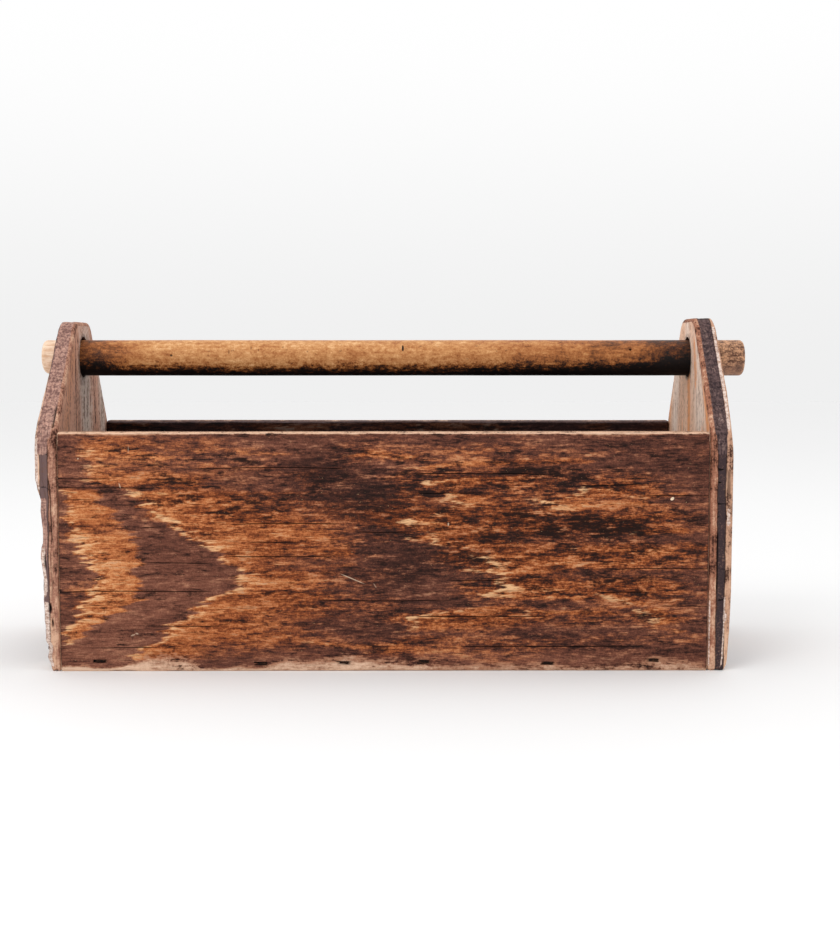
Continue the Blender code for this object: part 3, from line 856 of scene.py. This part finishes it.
def side_piece(node, turned, figure_at, cracks, foot_wear, foot_paleness, seed, materials):
    """A side, made with its outer face looking along -Y and then turned round for the rear."""
    low, high = (np.array(corner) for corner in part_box(node))
    turn = np.array([-1, -1, 1]) if turned else np.array([1, 1, 1])
    low, high = np.minimum(low * turn, high * turn), np.maximum(low * turn, high * turn)
    prefix = "staple_" + node.split("_")[0] + "_floor"
    slots = [(centre * turn[[0, 2]], half) for centre, half in staple_slots(prefix, (0, 2))]
    crack_heights = np.array([place for _, _, place in cracks]) * MM
    x_lines = mesh_lines(low[0], high[0], SIDE_STEPS[0])
    y_lines = mesh_lines(low[1], high[1], SIDE_STEPS[1])
    z_lines = mesh_lines(low[2], high[2], SIDE_STEPS[2], crack_heights, CRACK_LINES)
    x_lines = np.union1d(x_lines, slot_lines(slots, 0))
    z_lines = np.union1d(z_lines, slot_lines(slots, 1))
    points, faces = box_shell([x_lines, y_lines, z_lines])
    x, z = points[:, 0], points[:, 2]
    nibble = layered_noise(points, (22 * MM, 1.0, 1.0), seed + 40)
    top = smoothstep(z, high[2] - 12 * MM, high[2] - 6 * MM)
    foot = smoothstep(z, low[2] + 12 * MM, low[2] + 6 * MM)
    radius = SMALL_ROUND + top * (1.5 + 0.9 * nibble) * MM + foot * (0.9 + 0.6 * nibble) * MM
    points, outward = round_off(points, low, high, np.clip(radius, 0.4 * MM, 3.5 * MM))
    front = smoothstep(-outward[:, 1], 0.6, 0.95)
    cracked = crack_depth(x, z, cracks, high[0]) * front
    # Painted shadow along the gap at each end of the side
    joint_shadow = JOINT_SHADOW * smoothstep(high[0] - np.abs(x), JOINT_REACH, JOINT_DARKEST) * front
    sunk = slot_depth(x, z, slots) * front
    figure = figure_at(x, z)
    relief = 0.30 * MM * layered_noise(points, (150 * MM, 60 * MM, 45 * MM), seed)
    relief += 0.07 * MM * layered_noise(points, (60 * MM, 20 * MM, 4 * MM), seed + 9)
    relief -= 0.14 * MM * smoothstep(figure["warm"], 0.2, 0.8) * front
    nicks = smoothstep(layered_noise(points, (9 * MM, 9 * MM, 14 * MM), seed + 20), 0.45, 0.9)
    relief -= NICK_DEPTH * nicks * np.abs(outward[:, 2]) * (np.abs(outward[:, 1]) > 0.1)
    relief -= CRACK_DEPTH * cracked + sunk
    points = points + outward * relief[:, None]
    from_edge = np.minimum(np.minimum(z - low[2], high[2] - z), EDGE_REACH)
    wander = layered_noise(points, (70 * MM, 50 * MM, 60 * MM), seed + 5)
    points[:, 2] += EDGE_WANDER * wander * from_edge / EDGE_REACH
    foot_height = 1 + 0.45 * layered_noise(points, (14 * MM, 1.0, 1.0), seed + 3)
    foot_height = through(x, foot_wear) * foot_height
    top_height = TOP_WORN_HEIGHT * (1 + 0.35 * layered_noise(points, (45 * MM, 1.0, 1.0), seed + 4))
    at_foot = smoothstep(z - low[2], foot_height * 1.5, foot_height * 0.3)
    at_top = smoothstep(high[2] - z, top_height * 1.3, top_height * 0.3)
    wear = np.maximum(at_foot * (1 + through(x, foot_paleness) / MM), at_top * TOP_PALENESS)
    # Painted shade in the cracks, the staples' slots and the joint's gap
    groove_shade = np.clip(cracked * 1.3 + smoothstep(sunk, *SLOT_SHADE) + joint_shadow, 0, 1)
    attributes = {**figure, "groove_shade": groove_shade, "wear": wear}
    obj = add_mesh("worn_" + node, points * turn, faces, materials, SIDE_MATERIALS, attributes)
    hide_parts(node)
    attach(obj, "box")
    return obj


def floor_piece(node, seed, materials):
    low, high = (np.array(corner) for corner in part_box(node))
    lines = [mesh_lines(*ends) for ends in zip(low, high, FLOOR_STEPS)]
    points, faces = box_shell(lines)
    x, y = points[:, 0], points[:, 1]
    figure = random_figure(x, y, 250, -88, 88, seed)
    points, outward = round_off(points, low, high, SMALL_ROUND)
    relief = 0.12 * MM * layered_noise(points, (110 * MM, 40 * MM, 40 * MM), seed)
    relief -= 0.10 * MM * smoothstep(figure["warm"], 0.2, 0.8)
    points = points + outward * relief[:, None]
    scuffs = layered_noise(points, (70 * MM, 25 * MM, 1.0), seed + 7)
    wear = 0.55 * smoothstep(scuffs, 0.05, 0.6)
    attributes = {**figure, "wear": wear, "groove_shade": np.zeros(len(points))}
    obj = add_mesh("worn_" + node, points, faces, materials, (1, 1, 1, 1, 0, 0), attributes)
    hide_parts(node)
    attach(obj, "box")
    return obj


# ---- Ends -----------------------------------------------------------------------------------------

# Outline of an end, as the model has it: upright to the shoulder, then sloping in to a flat top
SHOULDER_HEIGHT = 182 * MM
TOP_HALF_WIDTH = 27.3 * MM
SHOULDER_RADIUS = 40 * MM
TOP_CORNER_RADIUS = 22 * MM
FOOT_RADIUS = 3 * MM
BAR_HOLE_RADIUS = 15.7 * MM
BAR_HOLE_CLEARANCE = 0.35 * MM

OUTLINE_STATIONS = 8000
# Steps of mesh through an end's thickness, across it and along its outline, and lines beside the glue
END_STEPS = (0.9 * MM, 1.9 * MM, 1.5 * MM)
GLUE_LINES = np.array([-0.5, -0.15, 0.15, 0.5]) * MM
# Material of each side of the shell: 0 inner face, 1 outer face, 2 sawn edge, 3 wall of the hole
END_MATERIALS = (0, 1, 2, 2, 2, 2, 3)
OUTER_ROUND = 1.5
HOLE_ROUND = 0.9 * MM
GAP_DEPTH = 2.0 * MM
FURROW_DEPTH = 0.8 * MM
# Wood that the rear rim has lost below the shoulder
EVEN_LOSS = 2 * MM
# Half size of the patch of mesh that is bent round the bar's hole, as part of the end's half depth
# and along its edge, and how far beyond it the mesh bends, as a share of it
HOLE_PATCH_ACROSS = 0.27
HOLE_PATCH_ALONG = 17 * MM
HOLE_PATCH_REACH = 1.9

# How each end is worn, in millimetres. loss: height, wood lost from the outer face at the rim.
# reach: how far in from the rim, for each millimetre lost. bow: how far its top leans inwards.
# inner_round: radius of its inner rim. On the front edge, as from height, to height, distance from the
# inner face, half width: torn to pale wood; gaps between layers; stained and crackled. On the inner
# face, as from z, y to z, y, half width, strength: silver, tanned and dark patches.
LEFT_WEAR = {
    "loss": (
        (0, 12), (5, 11.5), (11, 8.5), (17, 10.6), (23, 7.6), (40, 6.6), (60, 6.1), (73, 6.7),
        (85, 4.6), (92, 4.9), (98, 6.3), (110, 6.7), (122, 5.2), (132, 5.8), (141, 3.2), (148, 1.6),
        (182, 1.3), (205, 2.6), (235, 4.2), (262, 4.4), (270, 5),
    ),
    "reach": 4.1,
    "bow": 0.8,
    "inner_round": 3.2,
    "torn": ((2, 56, 14.6, 3.8), (56, 97, 15.8, 2.4), (138, 182, 16.6, 1.2)),
    "gaps": (
        (186, 206, 3.6, 0.8), (44, 54, 10.8, 2.2), (33, 42, 8.4, 1.4), (98, 150, 7.3, 0.5),
        (56, 94, 8.4, 0.4), (60, 74, 13.4, 0.7), (78, 92, 13.8, 0.7),
    ),
    "stained": (
        (190, 290, 10.0, 8.0), (178, 204, 11.0, 6.6), (166, 186, 12.0, 5.2), (84, 136, 15.6, 4.4),
    ),
    "silver": (
        (188, 12, 234, 2, 21, 1.0), (186, 74, 224, 68, 13, 0.9), (238, 24, 266, 12, 8, 0.6),
        (60, -60, 150, -40, 14, 0.7), (40, 30, 120, 45, 16, 0.8),
    ),
    "tanned": ((182, -66, 242, -42, 9, 0.75), (100, -75, 178, -70, 8, 0.6), (60, 0, 160, 6, 6, 0.5)),
    "dark": (
        (186, 44, 236, 38, 3.0, 0.8), (184, -28, 238, -29, 1.9, 1.2), (186, -48, 240, -36, 1.6, 0.6),
        (184, 16, 214, 14, 2.0, 0.5), (184, 58, 205, 58, 3, 0.6),
    ),
}
RIGHT_WEAR = {
    "loss": (
        (0, 5.4), (5, 3.4), (12, 2.6), (30, 1.4), (60, 0.4), (165, 0.2), (186, 1.2), (215, 0.5),
        (240, 0.8), (262, 1.4), (273, 2.4),
    ),
    "reach": 4.6,
    "bow": 1.1,
    "inner_round": 2.6,
    "torn": (
        (111, 128, 14.6, 2.0), (36, 47, 13.6, 2.4), (2, 57, 1.0, 0.8), (2, 57, 4.9, 0.7),
        (184, 268, 15.6, 1.6), (2, 60, 12.6, 0.6),
    ),
    "gaps": ((132, 157, 14.6, 0.9), (60, 108, 6.3, 0.5)),
    "stained": ((180, 290, 9.2, 6.2), (166, 188, 9.2, 4.6)),
    "silver": (
        (185, -58, 245, -40, 22, 1.0), (240, -12, 268, 0, 13, 0.8), (188, 62, 235, 46, 15, 0.9),
        (60, -20, 150, -10, 14, 0.8), (50, 50, 130, 60, 12, 0.7),
    ),
    "tanned": (
        (182, -6, 240, -6, 7.0, 1.2), (226, -36, 252, -30, 7, 0.9), (188, -86, 250, -54, 6, 0.9),
        (184, 88, 200, 84, 7, 0.8), (80, -70, 178, -66, 8, 0.8), (60, 20, 180, 24, 6, 0.7),
    ),
    "dark": ((186, 38, 234, 35, 3.4, 0.8), (184, 47, 212, 46, 2, 0.6), (186, -20, 214, -18, 1.6, 0.4)),
}


class EndOutline:
    """The front half of an end's outline, from the foot to the middle of the top, by its length."""

    def __init__(self, half_depth, height):
        run, rise = half_depth - TOP_HALF_WIDTH, height - SHOULDER_HEIGHT
        lean = math.atan2(run, rise)
        shoulder_reach = SHOULDER_RADIUS * math.tan(lean / 2)
        top_turn = math.pi / 2 - lean
        top_reach = TOP_CORNER_RADIUS * math.tan(top_turn / 2)
        stretches = (
            (FOOT_RADIUS * math.pi / 2, math.pi / 2),
            (SHOULDER_HEIGHT - FOOT_RADIUS - shoulder_reach, 0),
            (SHOULDER_RADIUS * lean, lean),
            (math.hypot(run, rise) - shoulder_reach - top_reach, 0),
            (TOP_CORNER_RADIUS * top_turn, top_turn),
        )
        ends = np.cumsum([(0, 0), *stretches], axis=0)
        self.length = ends[-1, 0]
        self.places = np.linspace(0, self.length, OUTLINE_STATIONS)
        self.headings = np.interp(self.places, ends[:, 0], ends[:, 1])
        steps = np.diff(self.places)
        middle = (self.headings[1:] + self.headings[:-1]) / 2
        self.y = half_depth - FOOT_RADIUS + np.concatenate([[0], np.cumsum(np.cos(middle) * steps)])
        self.z = np.concatenate([[0], np.cumsum(np.sin(middle) * steps)])

    def at(self, place):
        """Y, Z and outward Y and Z at each length along the outline."""
        heading = np.interp(place, self.places, self.headings)
        y = np.interp(place, self.places, self.y)
        z = np.interp(place, self.places, self.z)
        return y, z, np.sin(heading), -np.cos(heading)

    def place_at(self, height):
        return np.interp(height, self.z, self.places)


def band_along(z, depth, bands, feather=0.6):
    """Strength, at each point of an edge, of (from z, to z, depth, half width) bands in millimetres."""
    total = np.zeros(len(z))
    for start, stop, centre, half_width in bands:
        ends = smoothstep(z, start * MM, (start + 4) * MM) * smoothstep(z, stop * MM, (stop - 4) * MM)
        half = half_width * MM
        across = smoothstep(np.abs(depth - centre * MM), half, half * (1 - feather))
        total = np.maximum(total, ends * across)
    return total


def bent_round_hole(y, z, across, place, to_face, ragged, hole_lines, hole_height):
    """The mesh's square tunnel made round, with the mesh about it. Returns Y, Z and how far out from
    the hole each point is, 1 being its rim."""
    columns, rows = hole_lines
    a = across / ((columns[1] - columns[0]) / 2)
    b = (place - rows.mean()) / ((rows[1] - rows[0]) / 2)
    ring = np.maximum(np.abs(a), np.abs(b))
    bend = smoothstep(ring, HOLE_PATCH_REACH, 1.0)
    rim_round = np.maximum(HOLE_ROUND - to_face, 0) * (1 + 0.5 * ragged)
    reach = (BAR_HOLE_RADIUS + rim_round) * np.maximum(ring, 1e-6) / np.maximum(np.hypot(a, b), 1e-6)
    return y + bend * (a * reach - y), z + bend * (hole_height + b * reach - z), ring


def wood_lost(worn, z, across, from_rim, upper, spot, uneven, seed):
    """Wood lost from the outer face: a slope in from the rim and, where the outer layer has split
    off, a step of that layer's thickness."""
    rim_loss = through(z, worn["loss"]) * (1 + 0.08 * layered_noise(spot, (6, 5, 1), seed))
    rim_loss = np.where(across < 0, rim_loss, EVEN_LOSS + (rim_loss - EVEN_LOSS) * upper)
    sloping = rim_loss - from_rim / worn["reach"]
    torn_reach = rim_loss * worn["reach"] * (0.95 + 0.10 * uneven)
    step = np.minimum(rim_loss, END_LAYER) * smoothstep(from_rim, torn_reach, torn_reach - 3 * MM)
    split_off = smoothstep(rim_loss, 2.5 * MM, 4.0 * MM) * (1 - upper)
    return np.maximum(np.maximum(sloping, step * split_off * (1 - 0.1 * uneven)), 0)


def end_piece(node, x_sign, worn, seed, materials):
    """One end: its inner face, outer face, sawn edge and the bar's hole, worn as the real one is.
    It is made as the right end, with its thickness along +X, and the left one is its mirror image."""
    low, high = (np.array(corner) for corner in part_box(node))
    half_depth, height, thickness = high[1], high[2], high[0] - low[0]
    inner_x = min(abs(low[0]), abs(high[0]))
    outline = EndOutline(half_depth, height)
    slots = staple_slots("staple_" + node.split("_")[0], (1, 2))
    across_lines = np.union1d(mesh_lines(-half_depth, half_depth, END_STEPS[1]), slot_lines(slots, 0))
    row_lines = mesh_lines(0, outline.length, END_STEPS[2])
    lines = [
        mesh_lines(0, thickness, END_STEPS[0], [END_LAYER, 2 * END_LAYER], GLUE_LINES),
        across_lines / half_depth,
        np.union1d(row_lines, outline.place_at(slot_lines(slots, 1))),
    ]
    hole_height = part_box("carrying_bar")[0].z - BAR_HOLE_CLEARANCE + BAR_HOLE_RADIUS
    hole_place = outline.place_at(hole_height)
    hole = [
        np.searchsorted(lines[1], (-HOLE_PATCH_ACROSS, HOLE_PATCH_ACROSS)),
        np.searchsorted(lines[2], (hole_place - HOLE_PATCH_ALONG, hole_place + HOLE_PATCH_ALONG)),
    ]
    points, faces = box_shell(lines, hole)
    depth, across, place = points.T
    edge_y, edge_z, out_y, out_z = outline.at(place)

    # The rims are rounded, and the edge is rough, with a recessed core, glue lines and gaps
    at_rim = (np.abs(across) > 0.9999) | (place < 1e-6) | (place > outline.length - 1e-6)
    to_face = np.minimum(depth, thickness - depth)
    station = np.stack([depth * 0, across, place / MM], axis=1)
    radius = np.where(depth < thickness / 2, worn["inner_round"], OUTER_ROUND)
    radius = radius * (1 + 0.5 * layered_noise(station, (1, 4, 30), seed)) * MM
    ragged = layered_noise(np.stack([depth / MM, across, place / MM], axis=1), (3.0, 4, 7), seed + 1)
    from_middle = np.abs(depth - thickness / 2)
    in_core = smoothstep(from_middle, END_LAYER / 2 + 0.3 * MM, END_LAYER / 2 - 0.5 * MM)
    glue_line = smoothstep(np.abs(from_middle - END_LAYER / 2), 0.5 * MM, 0.1 * MM)
    gap = band_along(edge_z, depth, worn["gaps"]) * at_rim * (across < 0)
    rim_relief = in_core * (0.35 + 0.35 * ragged) * MM + glue_line * (0.25 + 0.2 * ragged) * MM
    rim_relief += 0.12 * MM * ragged + gap * GAP_DEPTH
    inset = round_drop(to_face, radius) + np.where(at_rim, rim_relief, 0)
    y = across * (edge_y - out_y * inset)
    z = edge_z - out_z * inset
    hole_lines = (lines[1][hole[0]], lines[2][hole[1]])
    y, z, ring = bent_round_hole(y, z, across, place, to_face, ragged, hole_lines, hole_height)

    # Faces ripple along the grain and are sunk at the staples; wood is lost along the outer rim
    face_noise = np.stack([np.sign(depth - thickness / 2), y / MM, z / MM], axis=1)
    ripple = 0.16 * MM * layered_noise(face_noise, (1, 7, 160), seed + 2)
    ripple += 0.22 * MM * layered_noise(face_noise, (1, 60, 140), seed + 3)
    on_face = to_face < 1e-6
    outside = on_face & (depth > thickness / 2)
    inside = on_face & ~outside
    sunk = slot_depth(y, z, slots) * outside
    patches = np.stack([strongest(z, y, worn[kind]) for kind in ("silver", "tanned", "dark")], axis=1)
    furrow = inside * smoothstep(patches[:, 2], 0.5, 1.0) * FURROW_DEPTH
    share = depth / thickness
    depth = depth + np.where(outside, ripple - sunk, 0) + np.where(inside, furrow - ripple, 0)
    spot = np.stack([y / MM, z / MM, y * 0], axis=1)
    uneven = layered_noise(spot, (16, 11, 1), seed + 4)
    from_rim = np.minimum(edge_y * (1 - np.abs(across)), height - z)
    upper = smoothstep(z, SHOULDER_HEIGHT - 12 * MM, SHOULDER_HEIGHT + 8 * MM)
    lost = wood_lost(worn, z, across, from_rim, upper, spot, uneven, seed + 5)
    depth = depth - lost * share

    edge_distance = np.minimum(half_depth - np.abs(y) - (half_depth - edge_y), height - z)
    wear = smoothstep(edge_distance, (4 + 3 * uneven) * MM, 0.5 * MM)
    wear += smoothstep(lost, 0.5 * MM, 3 * MM)
    # Darker towards the bottom of the inner face, and painted shade round the bar's hole
    dirt_and_shade = smoothstep(z, 70 * MM, 10 * MM) + 0.85 * smoothstep(z, 176 * MM, 60 * MM)
    dirt_and_shade = np.maximum(np.minimum(dirt_and_shade, 1), smoothstep(ring, 1.5, 1.0) * 0.7)
    torn = band_along(z, share * thickness, worn["torn"]) * (across < 0) * at_rim
    split_face = smoothstep(lost, 2.2 * MM, 3.6 * MM) * outside * (1 - upper)
    # Painted shade in the gaps between layers, the staples' slots and the furrows
    groove_shade = gap + smoothstep(sunk, *SLOT_SHADE) + 0.7 * smoothstep(furrow, 0.3 * MM, 0.8 * MM)
    attributes = {
        **random_figure(z - height / 2, y, 150, -100, 100, seed + 6),
        "groove_shade": np.clip(groove_shade, 0, 1),
        "wear": np.clip(wear, 0, 1),
        "torn": np.maximum(torn, (1 - 0.5 * smoothstep(z, 90 * MM, 100 * MM)) * split_face),
        "stained": band_along(z, share * thickness, worn["stained"], 0.35) * at_rim,
        "dirt_and_shade": dirt_and_shade,
        "patches": patches,
    }
    depth = depth - worn["bow"] * MM * smoothstep(z, SHOULDER_HEIGHT, height)
    placed = np.stack([(inner_x + depth) * x_sign, y, z], axis=1)
    if x_sign < 0:
        faces = [quads[:, ::-1] for quads in faces]
    obj = add_mesh("worn_" + node, placed, faces, materials, END_MATERIALS, attributes)
    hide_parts(node)
    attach(obj, "box")
    return obj


# ---- Bar ------------------------------------------------------------------------------------------

# Marks on the bar, in millimetres and degrees: along it, angle above its front, half length,
# half width, depth
BAR_MARKS = (
    (200, 28, 0.85, 0.85, 3.0),
    (14, 34, 0.8, 3.2, 0.9),
    (-175, 8, 1.1, 0.9, 0.6),
    (-128, 20, 0.5, 2.2, 0.35),
    (-110, 34, 0.5, 1.8, 0.35),
    (-104, 26, 0.4, 1.4, 0.35),
)
MARK_LINES = np.array([0.3, 0.6, 0.85, 1.1, 1.5, 2.2, 3.0, 4.0]) * MM
MARK_ANGLE_LINES = np.array([-1.2, -0.85, -0.5, 0, 0.5, 0.85, 1.2]) * MM
BAR_SIDES = 132
BAR_STEP = 2.2 * MM
CLOSEST_DEGREES = 0.6
TIP_ROUNDING = 3.2 * MM
# How far in from the rounding each ring of a tip's flat is
TIP_RINGS = np.array([2, 4.5, 7, 9, 10.6]) * MM
# Wood sawn off the left tip's lower half, over a length
SLANT_DEPTH = 2.0 * MM
SLANT_LENGTH = 9 * MM
# Depth, in millimetres, at which a knock's painted shade is full
DARK_DENT = 0.7


def bar_piece(node, material):
    """The carrying bar, a little uneven, with softened ends and a few knocks."""
    low, high = (np.array(corner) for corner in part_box(node))
    radius = (high[2] - low[2]) / 2
    axis_z = (high[2] + low[2]) / 2
    marks = [mark[0] * MM for mark in BAR_MARKS]
    beside_mark = np.concatenate([-MARK_LINES[::-1], MARK_LINES])
    lines = mesh_lines(low[0], high[0], BAR_STEP, marks, beside_mark)
    even_angles = np.linspace(0, 360, BAR_SIDES, endpoint=False)
    near_marks = np.concatenate([mark[1] + np.degrees(MARK_ANGLE_LINES / radius) for mark in BAR_MARKS])
    angles = np.unique(np.round(np.concatenate([even_angles, near_marks % 360]), 2))
    angles = angles[np.concatenate([[True], np.diff(angles) > CLOSEST_DEGREES])]
    from_tip = np.minimum(lines - low[0], high[0] - lines)
    caps = radius - TIP_ROUNDING - TIP_RINGS
    stations = np.concatenate([np.full(len(caps), low[0]), lines, np.full(len(caps), high[0])])
    radii = np.concatenate([caps[::-1], radius - round_drop(from_tip, TIP_ROUNDING), caps])
    x, degrees = (values.ravel() for values in np.meshgrid(stations, angles, indexing="ij"))
    r = np.repeat(radii, len(angles))
    turn = np.radians(degrees)
    around = np.stack([x / MM, np.cos(turn) * 14, np.sin(turn) * 14], axis=1)
    share = r / radius
    r = r + share * 0.16 * MM * layered_noise(around, (85, 26, 26), 301)
    r = r + share * 0.05 * MM * layered_noise(around, (26, 5, 5), 305)
    dent = np.zeros(len(r))
    on_side = np.repeat(np.concatenate([caps * 0, lines * 0 + 1, caps * 0]), len(angles))
    for mark_x, mark_angle, half_length, half_width, deep in BAR_MARKS:
        apart = (degrees - mark_angle + 180) % 360 - 180
        along, about = (x / MM - mark_x) / half_length, np.radians(apart) * radius / MM / half_width
        dent = np.maximum(dent, deep * smoothstep(np.hypot(along, about), 1.15, 0.75) * on_side)
    r = r - dent * MM
    slant = smoothstep(x, low[0] + SLANT_LENGTH, low[0]) * smoothstep(np.sin(turn), 0.2, -1.0)
    r = r - slant * SLANT_DEPTH * share
    y, z = -np.cos(turn) * r, axis_z + np.sin(turn) * r
    points = np.stack([x, y, z], axis=1)
    number = np.arange(len(points)).reshape(len(stations), len(angles))
    ahead = np.roll(number, -1, axis=1)
    skin = np.stack([ahead[:-1], ahead[1:], number[1:], number[:-1]], axis=-1).reshape(-1, 4)
    sides = (skin, number[:1], number[-1:, ::-1])
    # Painted shade in the knocks, by their depth
    attributes = {"groove_shade": np.clip(dent / DARK_DENT, 0, 1)}
    obj = add_mesh("worn_" + node, points, sides, (material,), (0, 0, 0), attributes)
    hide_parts(node)
    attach(obj, "bar")
    return obj


# ---- The object -----------------------------------------------------------------------------------

inner_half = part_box("right_end")[0].x
end_middle = inner_half + 1.5 * END_LAYER
side_middle = (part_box("rear_side")[0].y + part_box("rear_side")[1].y) / 2
bar_low, bar_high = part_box("carrying_bar")

front_wood = stained_wood("stained_side", "X", specks=FRONT_SPECKS)
rear_wood = stained_wood("stained_rear", "X")
# Inner faces of the sides and the floor, darkened with painted shade
inside_wood_painted_shade = stained_wood("stained_inside", "X", INSIDE_SHADE)
side_edge = layered_edge(
    "side_edge", "Y", -1, -side_middle, SIDE_LAYER,
    ((188, 146, 120), (204, 162, 134), (150, 112, 90), (150, 112, 90), (90, 60, 48)),
)
rear_edge = layered_edge(
    "rear_edge", "Y", 1, side_middle, SIDE_LAYER,
    ((112, 76, 58), (130, 90, 70), (92, 62, 50), (112, 76, 58), (60, 40, 32)),
)
end_outside = stained_wood("stained_end", "Z")
left_inside = weathered_wood(
    "left_inside", (200, 148, 124), (208, 186, 172), (206, 148, 116), (100, 70, 62), 1.4
)
# The right inner face faces the key light: its colours are partly its own paler wood, partly painted
# light
right_inside = weathered_wood(
    "right_inside", (247, 202, 172), (251, 226, 208), (238, 162, 110), (204, 154, 126), 0.8
)
left_edge = layered_edge(
    "left_edge", "X", -1, -end_middle - 1.2 * MM, END_LAYER,
    ((164, 116, 96), (216, 176, 152), (108, 86, 84), (192, 150, 134), (118, 86, 80)),
)
right_edge = layered_edge(
    "right_edge", "X", 1, end_middle, END_LAYER,
    ((160, 107, 84), (192, 148, 122), (60, 47, 49), (104, 82, 80), (54, 42, 44)),
)
hole_wood = torn_wood("hole_wood")
bar_height, bar_radius = (bar_low.z + bar_high.z) / 2, (bar_high.z - bar_low.z) / 2
bar_finish = bar_wood("bar_finish", bar_height, bar_radius, inner_half)
steel = rusty_steel("staple_steel")


def front_figure(x, z):
    return figure_of(x, z, FRONT_FLAMES, FRONT_TONE, FRONT_STREAKY, FRONT_STREAKS, FRONT_BLACK, 17)


def rear_figure(x, z):
    return random_figure(x, z, 250, 0, 185, 23)


side_piece(
    "front_side", False, front_figure, FRONT_CRACKS, FRONT_FOOT_WEAR, FRONT_FOOT_PALENESS, 11,
    (front_wood, side_edge, inside_wood_painted_shade),
)
rng = np.random.default_rng(52)
rear_cracks = [(place, place + rng.uniform(40, 130), height)
               for place, height in zip(rng.uniform(-240, 160, 16), np.linspace(20, 168, 16))]
side_piece(
    "rear_side", True, rear_figure, rear_cracks, EVEN_FOOT_WEAR, ((0, 0),), 31,
    (rear_wood, rear_edge, inside_wood_painted_shade),
)
floor_piece("floor_board", 61, (inside_wood_painted_shade, side_edge))
end_piece("left_end", -1, LEFT_WEAR, 71, (left_inside, end_outside, left_edge, hole_wood))
end_piece("right_end", 1, RIGHT_WEAR, 81, (right_inside, end_outside, right_edge, hole_wood))
bar_piece("carrying_bar", bar_finish)
for name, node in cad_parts.items():
    if name.startswith("staple"):
        for material_slot in node.material_slots:
            material_slot.material = steel


# ---- Studio ---------------------------------------------------------------------------------------

PAPER = (0.86, 0.86, 0.86, 1.0)
PAPER_HALF_SIZE = 6.0
# The lights' name, place, the point they face, size and power
LIGHTS = (
    ("key_light", (-0.9, -1.5, 1.6), (0, 0, 0.12), 1.1, 11),
    ("top_light", (0.3, 0.2, 2.2), (0, 0, 0.1), 1.6, 6),
)
# The backdrop's strength, against how far up a direction points: -1 straight down, 1 straight up
BACKDROP = {"From Min": -0.02, "From Max": 0.22, "To Min": 0.87, "To Max": 1.0}
CAMERA_PLACE = (0.022, -1.245, 0.247)
CAMERA_TILT = math.radians(85.37)
CAMERA_TURN = math.radians(-0.28)
CAMERA_LENS = 57.3


def studio_floor():
    half = PAPER_HALF_SIZE
    mesh = bpy.data.meshes.new("studio_floor")
    corners = [(-half, -half, 0), (half, -half, 0), (half, half, 0), (-half, half, 0)]
    mesh.from_pydata(corners, [], [(0, 1, 2, 3)])
    paper = bpy.data.materials.new("studio_paper")
    paper.use_nodes = True
    shader = paper.node_tree.nodes["Principled BSDF"]
    shader.inputs["Base Color"].default_value = PAPER
    shader.inputs["Roughness"].default_value = 0.9
    mesh.materials.append(paper)
    put_in_scene("studio_floor", mesh)


def area_light(name, place, target, size, power):
    light = bpy.data.lights.new(name, "AREA")
    light.shape = "DISK"
    light.size = size
    light.energy = power
    obj = put_in_scene(name, light)
    obj.location = place
    aim = Vector(target) - Vector(place)
    obj.rotation_euler = aim.to_track_quat("-Z", "Y").to_euler()


def studio_camera():
    camera = bpy.data.cameras.new("studio_camera")
    camera.lens = CAMERA_LENS
    camera.sensor_width = 36.0
    camera.clip_start = 0.05
    obj = put_in_scene("studio_camera", camera)
    obj.location = CAMERA_PLACE
    obj.rotation_euler = Euler((CAMERA_TILT, 0.0, CAMERA_TURN))
    bpy.context.scene.camera = obj


def studio_backdrop():
    """White light all round, a little weaker from the horizon and below."""
    world = bpy.data.worlds.new("studio_world")
    world.use_nodes = True
    nodes, links = world.node_tree.nodes, world.node_tree.links
    background = nodes["Background"]
    background.inputs["Color"].default_value = (1.0, 1.0, 1.0, 1.0)
    place = nodes.new("ShaderNodeTexCoord")
    split = nodes.new("ShaderNodeSeparateXYZ")
    strength = nodes.new("ShaderNodeMapRange")
    strength.interpolation_type = "SMOOTHSTEP"
    for socket, value in BACKDROP.items():
        strength.inputs[socket].default_value = value
    links.new(place.outputs["Generated"], split.inputs["Vector"])
    links.new(split.outputs["Z"], strength.inputs["Value"])
    links.new(strength.outputs["Result"], background.inputs["Strength"])
    bpy.context.scene.world = world


studio_floor()
for light in LIGHTS:
    area_light(*light)
studio_backdrop()
studio_camera()
bpy.context.scene.view_settings.view_transform = "Standard"
